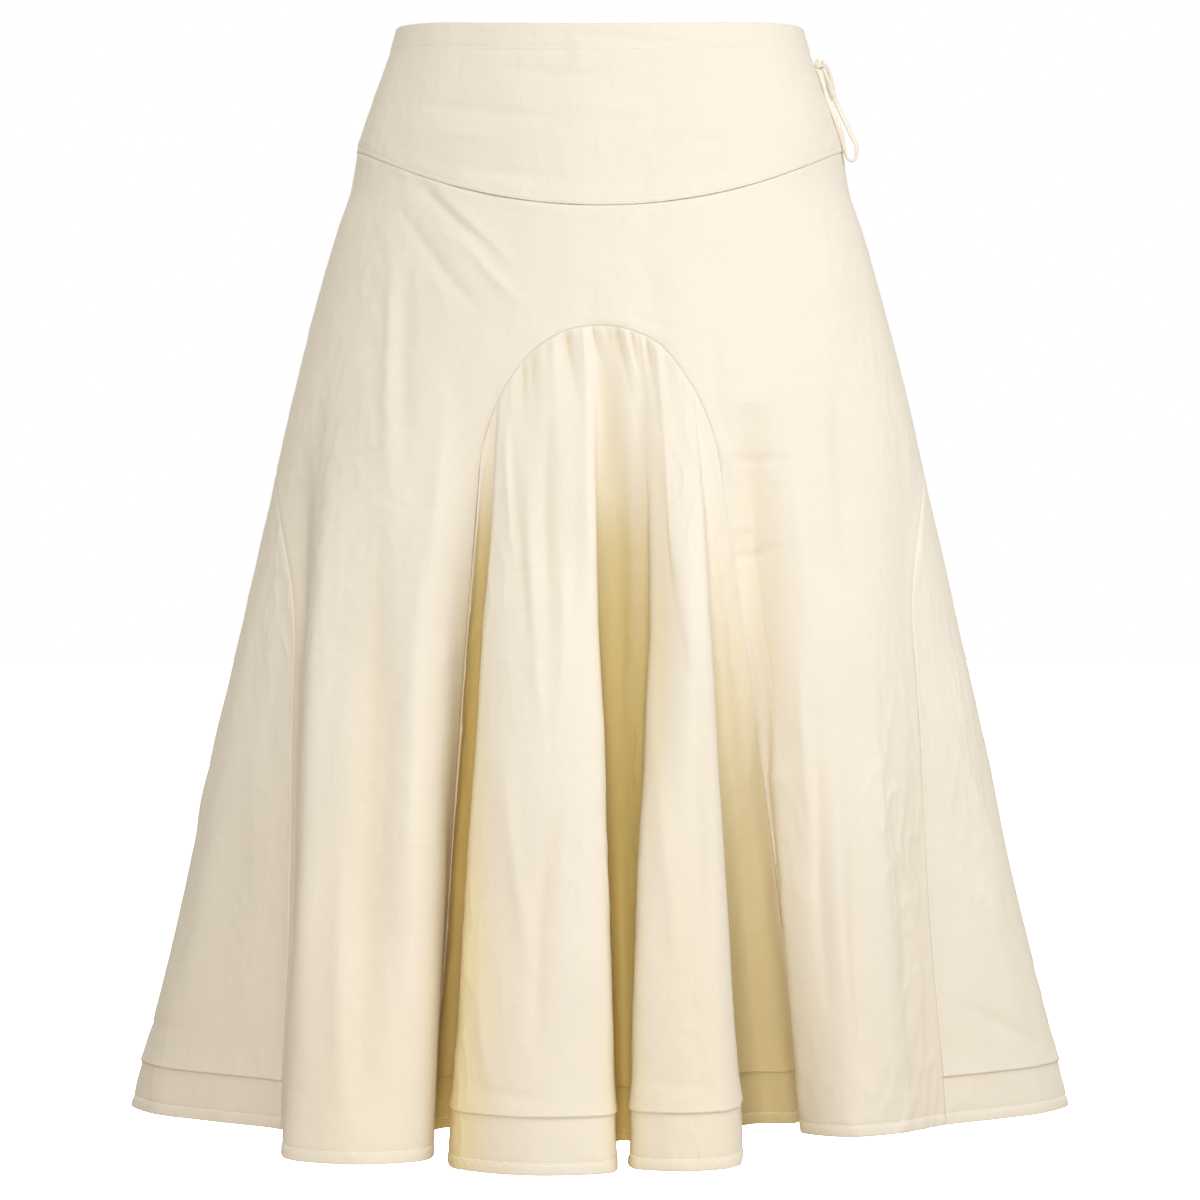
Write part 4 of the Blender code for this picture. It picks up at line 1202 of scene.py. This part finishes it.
# The panel's lines join like places on its two edges, up from the hem on each side: the foot of
# the arch beside the insert's leg, the arch's shoulder beside the insert's top, and then its round.
# Drop on the arch's edge, drop on the outer edge, lines up to there from the place before
PANEL_STAGES = (
    (0.425, 0.418, 112),
    (0.280, 0.298, 52),
    (None, None, 96),
)
PANEL_WRINKLES = (
    # from x, drop to x, drop, bow, half width, height
    (-0.1230, 0.1080, -0.0640, 0.1640, 0.002, 0.0040, -0.0027),
    (-0.1120, 0.1120, -0.0520, 0.1720, 0.002, 0.0040, 0.0020),
    (-0.1330, 0.1260, -0.0780, 0.2000, 0.003, 0.0045, -0.0022),
    (-0.0900, 0.1500, -0.0500, 0.1960, 0.002, 0.0040, 0.0017),
    (-0.1340, 0.1450, -0.1350, 0.3200, 0.002, 0.0050, 0.0027),
    (-0.1270, 0.1700, -0.1250, 0.2900, 0.001, 0.0045, -0.0020),
    (-0.0980, 0.2500, -0.1080, 0.4200, 0.002, 0.0060, 0.0024),
    (-0.1430, 0.3300, -0.1450, 0.7100, 0.002, 0.0130, -0.0075),
    (-0.1120, 0.3300, -0.1180, 0.6600, 0.003, 0.0100, 0.0052),
    (-0.1760, 0.3000, -0.1840, 0.6900, 0.003, 0.0090, 0.0041),
    (-0.1930, 0.3100, -0.1900, 0.4300, 0.004, 0.0050, -0.0024),
    (-0.1020, 0.4100, -0.0960, 0.4300, 0.001, 0.0060, 0.0020),
    (-0.1320, 0.4300, -0.1360, 0.6100, 0.002, 0.0050, -0.0017),
    (-0.1620, 0.5400, -0.1580, 0.7100, 0.002, 0.0050, 0.0022),
    (0.0760, 0.2800, 0.0840, 0.3120, 0.000, 0.0035, 0.0027),
    (0.0820, 0.2960, 0.1230, 0.2960, 0.000, 0.0020, -0.0020),
    (0.0820, 0.3620, 0.1190, 0.3520, 0.000, 0.0020, -0.0022),
    (0.0850, 0.3420, 0.1020, 0.3380, 0.000, 0.0026, 0.0017),
    (0.0730, 0.2100, 0.0800, 0.2900, 0.001, 0.0050, -0.0020),
    (0.0980, 0.2600, 0.1120, 0.5000, 0.002, 0.0130, -0.0102),
    (0.1200, 0.2300, 0.1420, 0.4600, 0.002, 0.0080, 0.0034),
    (0.1560, 0.2300, 0.1640, 0.3900, 0.003, 0.0060, -0.0020),
    (0.1280, 0.4100, 0.1400, 0.5600, 0.003, 0.0050, 0.0024),
    (0.1400, 0.4600, 0.1460, 0.6500, 0.002, 0.0045, -0.0027),
    (0.1500, 0.4700, 0.1640, 0.7000, 0.003, 0.0050, 0.0024),
    (0.1620, 0.5300, 0.1700, 0.7000, 0.002, 0.0050, -0.0027),
    (0.1760, 0.4200, 0.1900, 0.6300, 0.002, 0.0060, 0.0024),
    (0.1950, 0.5600, 0.2050, 0.7100, 0.002, 0.0060, -0.0022),
)
# Painted shade in soft patches on the panel
PANEL_PAINTED_SHADES = (
    # angle, drop, half angle, half drop, amount
    (-45.0, 0.700, 12.0, 0.200, 0.09),
    (24.0, 0.640, 5.0, 0.220, 0.10),
)
# The wearer's left side is more rumpled: from x, to x, from this drop, over this far, how much more
RUMPLED_SIDE = (0.120, 0.190, 0.400, 0.100, 1.2)


def seam_path(angles, shares, stages, by_height=0.0):
    """Angles and shares up a seam from the hem: its hem rows, then so many places in each stage.

    A stage is the drop where it ends, or None for the end of the seam, and its number of places,
    which are even in length or, as far as by_height says, in height.
    """
    steps = np.diff(surface(angles, shares), axis=0)
    lengths = (1 - by_height) * np.linalg.norm(steps, axis=1) + by_height * np.abs(steps[:, 2])
    run = np.concatenate([[0], np.cumsum(lengths)])
    heights = np.array(HEM_HEIGHTS)
    begin = np.interp(heights[-1], (1 - shares[:2]) * hem_drop(angles[0]), run[:2])
    drops = shares * hem_drop(angles)
    places = []
    for drop, count in stages:
        reached = run[-1] if drop is None else run[np.argmax(drops <= drop)]
        places.append(np.linspace(begin, reached, count + 1)[1:])
        begin = reached
    places = np.concatenate(places)
    hem_shares = 1 - heights / hem_drop(angles[0])
    return (
        np.concatenate([np.full(len(heights), angles[0]), np.interp(places, run, angles)]),
        np.concatenate([hem_shares, np.interp(places, run, shares)]),
    )


def arch_side(arch, side, fine=300):
    """Angles and shares up one side of an arched seam from the hem to the top of its arch."""
    middle, half, top, cap, fullness = arch
    edge = middle + side * half
    low = arch_share(arch, edge)
    swing = np.linspace(0, np.pi / 2, fine)
    cap_angles = middle + side * half * np.cos(swing)
    foot = 1 - HEM_HEIGHTS[-1] / hem_drop(edge)
    leg = np.concatenate([[1.0], np.linspace(foot, low, fine - 1)])
    return (
        np.concatenate([np.full(fine, edge), cap_angles[1:]]),
        np.concatenate([leg, arch_share(arch, cap_angles)[1:]]),
    )


def insert_side(arch, side, fine=200):
    """Angles and shares up an insert's seam, and on up the side seam to the yoke."""
    angles, shares = arch_side(arch, side)
    middle = arch[0]
    above = np.linspace(shares[-1], yoke_share(middle), fine)[1:]
    return np.concatenate([angles, np.full(fine - 1, middle)]), np.concatenate([shares, above])


def panel_half(side):
    """Lines of the front panel on one side, from the hem to the middle of the front."""
    outer = insert_side(RIGHT_ARCH if side < 0 else LEFT_ARCH, -side)
    along_yoke = np.linspace(90.0 * side, GODET_ARCH[0], 300)[1:]
    outer_angles = np.concatenate([outer[0], along_yoke])
    outer_shares = np.concatenate([outer[1], yoke_share(along_yoke)])
    inner = seam_path(*arch_side(GODET_ARCH, side), [(drop, count) for drop, other, count in PANEL_STAGES])
    outer_stages = [(other, count) for drop, other, count in PANEL_STAGES]
    return inner, seam_path(outer_angles, outer_shares, outer_stages)


left_inner, left_outer = panel_half(1)
right_inner, right_outer = panel_half(-1)
inner = [np.concatenate([a, b[::-1][1:]]) for a, b in zip(right_inner, left_inner)]
outer = [np.concatenate([a, b[::-1][1:]]) for a, b in zip(right_outer, left_outer)]
line = np.linspace(0, 1, 160)
line_angles = inner[0][:, None] + (outer[0] - inner[0])[:, None] * line
line_shares = inner[1][:, None] + (outer[1] - inner[1])[:, None] * line
line_run = runs_across(surface(line_angles, line_shares))
from_arch = edge_places(line_run[:, -1], PANEL_CELLS)
angles = np.array([np.interp(*row) for row in zip(from_arch, line_run, line_angles)])
shares = np.array([np.interp(*row) for row in zip(from_arch, line_run, line_shares)])
base = surface(angles, shares)
drops = -base[..., 2]
from_seam = np.minimum(from_arch, from_arch[:, -1:] - from_arch)
height, clear, relief = sewn(angles, shares, from_seam)
folds = creases(PANEL_WRINKLES, base[..., 0], drops) * clear
# Painted shade in the troughs of the panel's creases and in soft patches.
painted_crease_shade = PANEL_PAINTED_CREASE_SHADE * np.clip(-folds / CREASE_DEPTH, 0, 1)
painted_crease_shade = np.maximum(painted_crease_shade, painted_flank_shade(PANEL_PAINTED_SHADES, angles, drops) * clear)
low_x, high_x, top_drop, over, more = RUMPLED_SIDE
rumpled = np.exp(-(((base[..., 0] - (low_x + high_x) / 2) / (high_x - low_x)) ** 2))
rumpled *= np.clip((drops - top_drop) / over, 0, 1)
relief += folds + crumple(base, *PANEL_SWELL) * clear
relief += rumple(base, *PANEL_RUMPLE) * (1 + more * rumpled) * clear
hem_rows = len(HEM_HEIGHTS) + 1
seams = [
    (slice(0, hem_rows), height, HEM_TURN),
    (slice(-1, -hem_rows - 1, -1), height, HEM_TURN),
]
cloth_piece(
    "front_panel",
    angles,
    shares,
    relief,
    turned_up(height),
    seams=seams,
    shade=PANEL_PAINTED_SHADE,
    painted_crease_shade=painted_crease_shade,
)

# The back panel: one wide flared piece of the same cotton in four soft folds, sewn to the back
# yoke and the side inserts, with the same turned and stitched hem.
BACK_COLUMNS = 270
BACK_LINES = 160
BACK_BY_HEIGHT = 0.65
BACK_EVEN_AT_HEM = 0.7
BACK_SWELL = (0.036, 0.0012, 47.0)
BACK_RUMPLE = (0.012, 0.00070, 49.0)
# How golden the back's valleys are painted, as painted shade
BACK_PAINTED_SHADE = 0.6
BACK_WRINKLES = (
    # from x, drop to x, drop, bow, half width, height
    (0.150, 0.160, 0.080, 0.250, 0.003, 0.0050, -0.0016),
    (0.130, 0.150, 0.060, 0.230, 0.002, 0.0045, 0.00128),
    (0.120, 0.200, 0.126, 0.360, 0.003, 0.0060, 0.00144),
    (0.060, 0.180, 0.080, 0.420, 0.003, 0.0060, -0.00144),
    (0.020, 0.240, 0.012, 0.400, 0.002, 0.0050, 0.00128),
    (-0.040, 0.260, -0.060, 0.520, 0.004, 0.0060, 0.0016),
    (-0.070, 0.170, -0.078, 0.300, 0.002, 0.0050, -0.00128),
    (-0.140, 0.150, -0.090, 0.240, 0.003, 0.0050, -0.0016),
    (-0.120, 0.260, -0.132, 0.430, 0.003, 0.0060, 0.00144),
    (0.170, 0.380, 0.190, 0.640, 0.003, 0.0060, 0.0016),
    (0.075, 0.500, 0.066, 0.700, 0.002, 0.0060, -0.00144),
    (-0.050, 0.560, -0.058, 0.710, 0.002, 0.0050, -0.00144),
    (-0.160, 0.400, -0.180, 0.660, 0.003, 0.0060, -0.0016),
    (-0.190, 0.480, -0.204, 0.700, 0.002, 0.0060, 0.00128),
)
back_stages = [(None, BACK_LINES)]
left_angles, left_shares = seam_path(*insert_side(LEFT_ARCH, 1), back_stages, BACK_BY_HEIGHT)
right_angles = seam_path(*insert_side(RIGHT_ARCH, -1), back_stages, BACK_BY_HEIGHT)[0] + 360.0
top_line = np.linspace(90.0, 270.0, 900)
at_hem = run_along(surface(top_line, 1.0))
hem_angles = np.interp(edge_places(at_hem[-1], BACK_COLUMNS), at_hem, top_line)
even_angles = np.linspace(90.0, 270.0, BACK_COLUMNS + 1)
top_angles = BACK_EVEN_AT_HEM * hem_angles + (1 - BACK_EVEN_AT_HEM) * even_angles
across = (top_angles - 90.0) / 180.0
angles = left_angles[:, None] + (right_angles - left_angles)[:, None] * across
down = (left_shares - left_shares[-1]) / (1 - left_shares[-1])
shares = (1 - down)[:, None] * yoke_share(top_angles) + down[:, None]
base = surface(angles, shares)
below_yoke = (shares - yoke_share(angles)) * hem_drop(angles)
from_left = runs_across(base)
from_seam = np.minimum(np.minimum(from_left, from_left[:, -1:] - from_left), np.abs(below_yoke))
height, clear, relief = sewn(angles, shares, from_seam)
relief += creases(BACK_WRINKLES, base[..., 0], -base[..., 2]) * clear
relief += (crumple(base, *BACK_SWELL) + rumple(base, *BACK_RUMPLE)) * clear
seams = [(slice(0, hem_rows), height, HEM_TURN)]
cloth_piece(
    "back_panel",
    angles,
    shares,
    relief,
    turned_up(height),
    seams=seams,
    shade=BACK_PAINTED_SHADE,
)
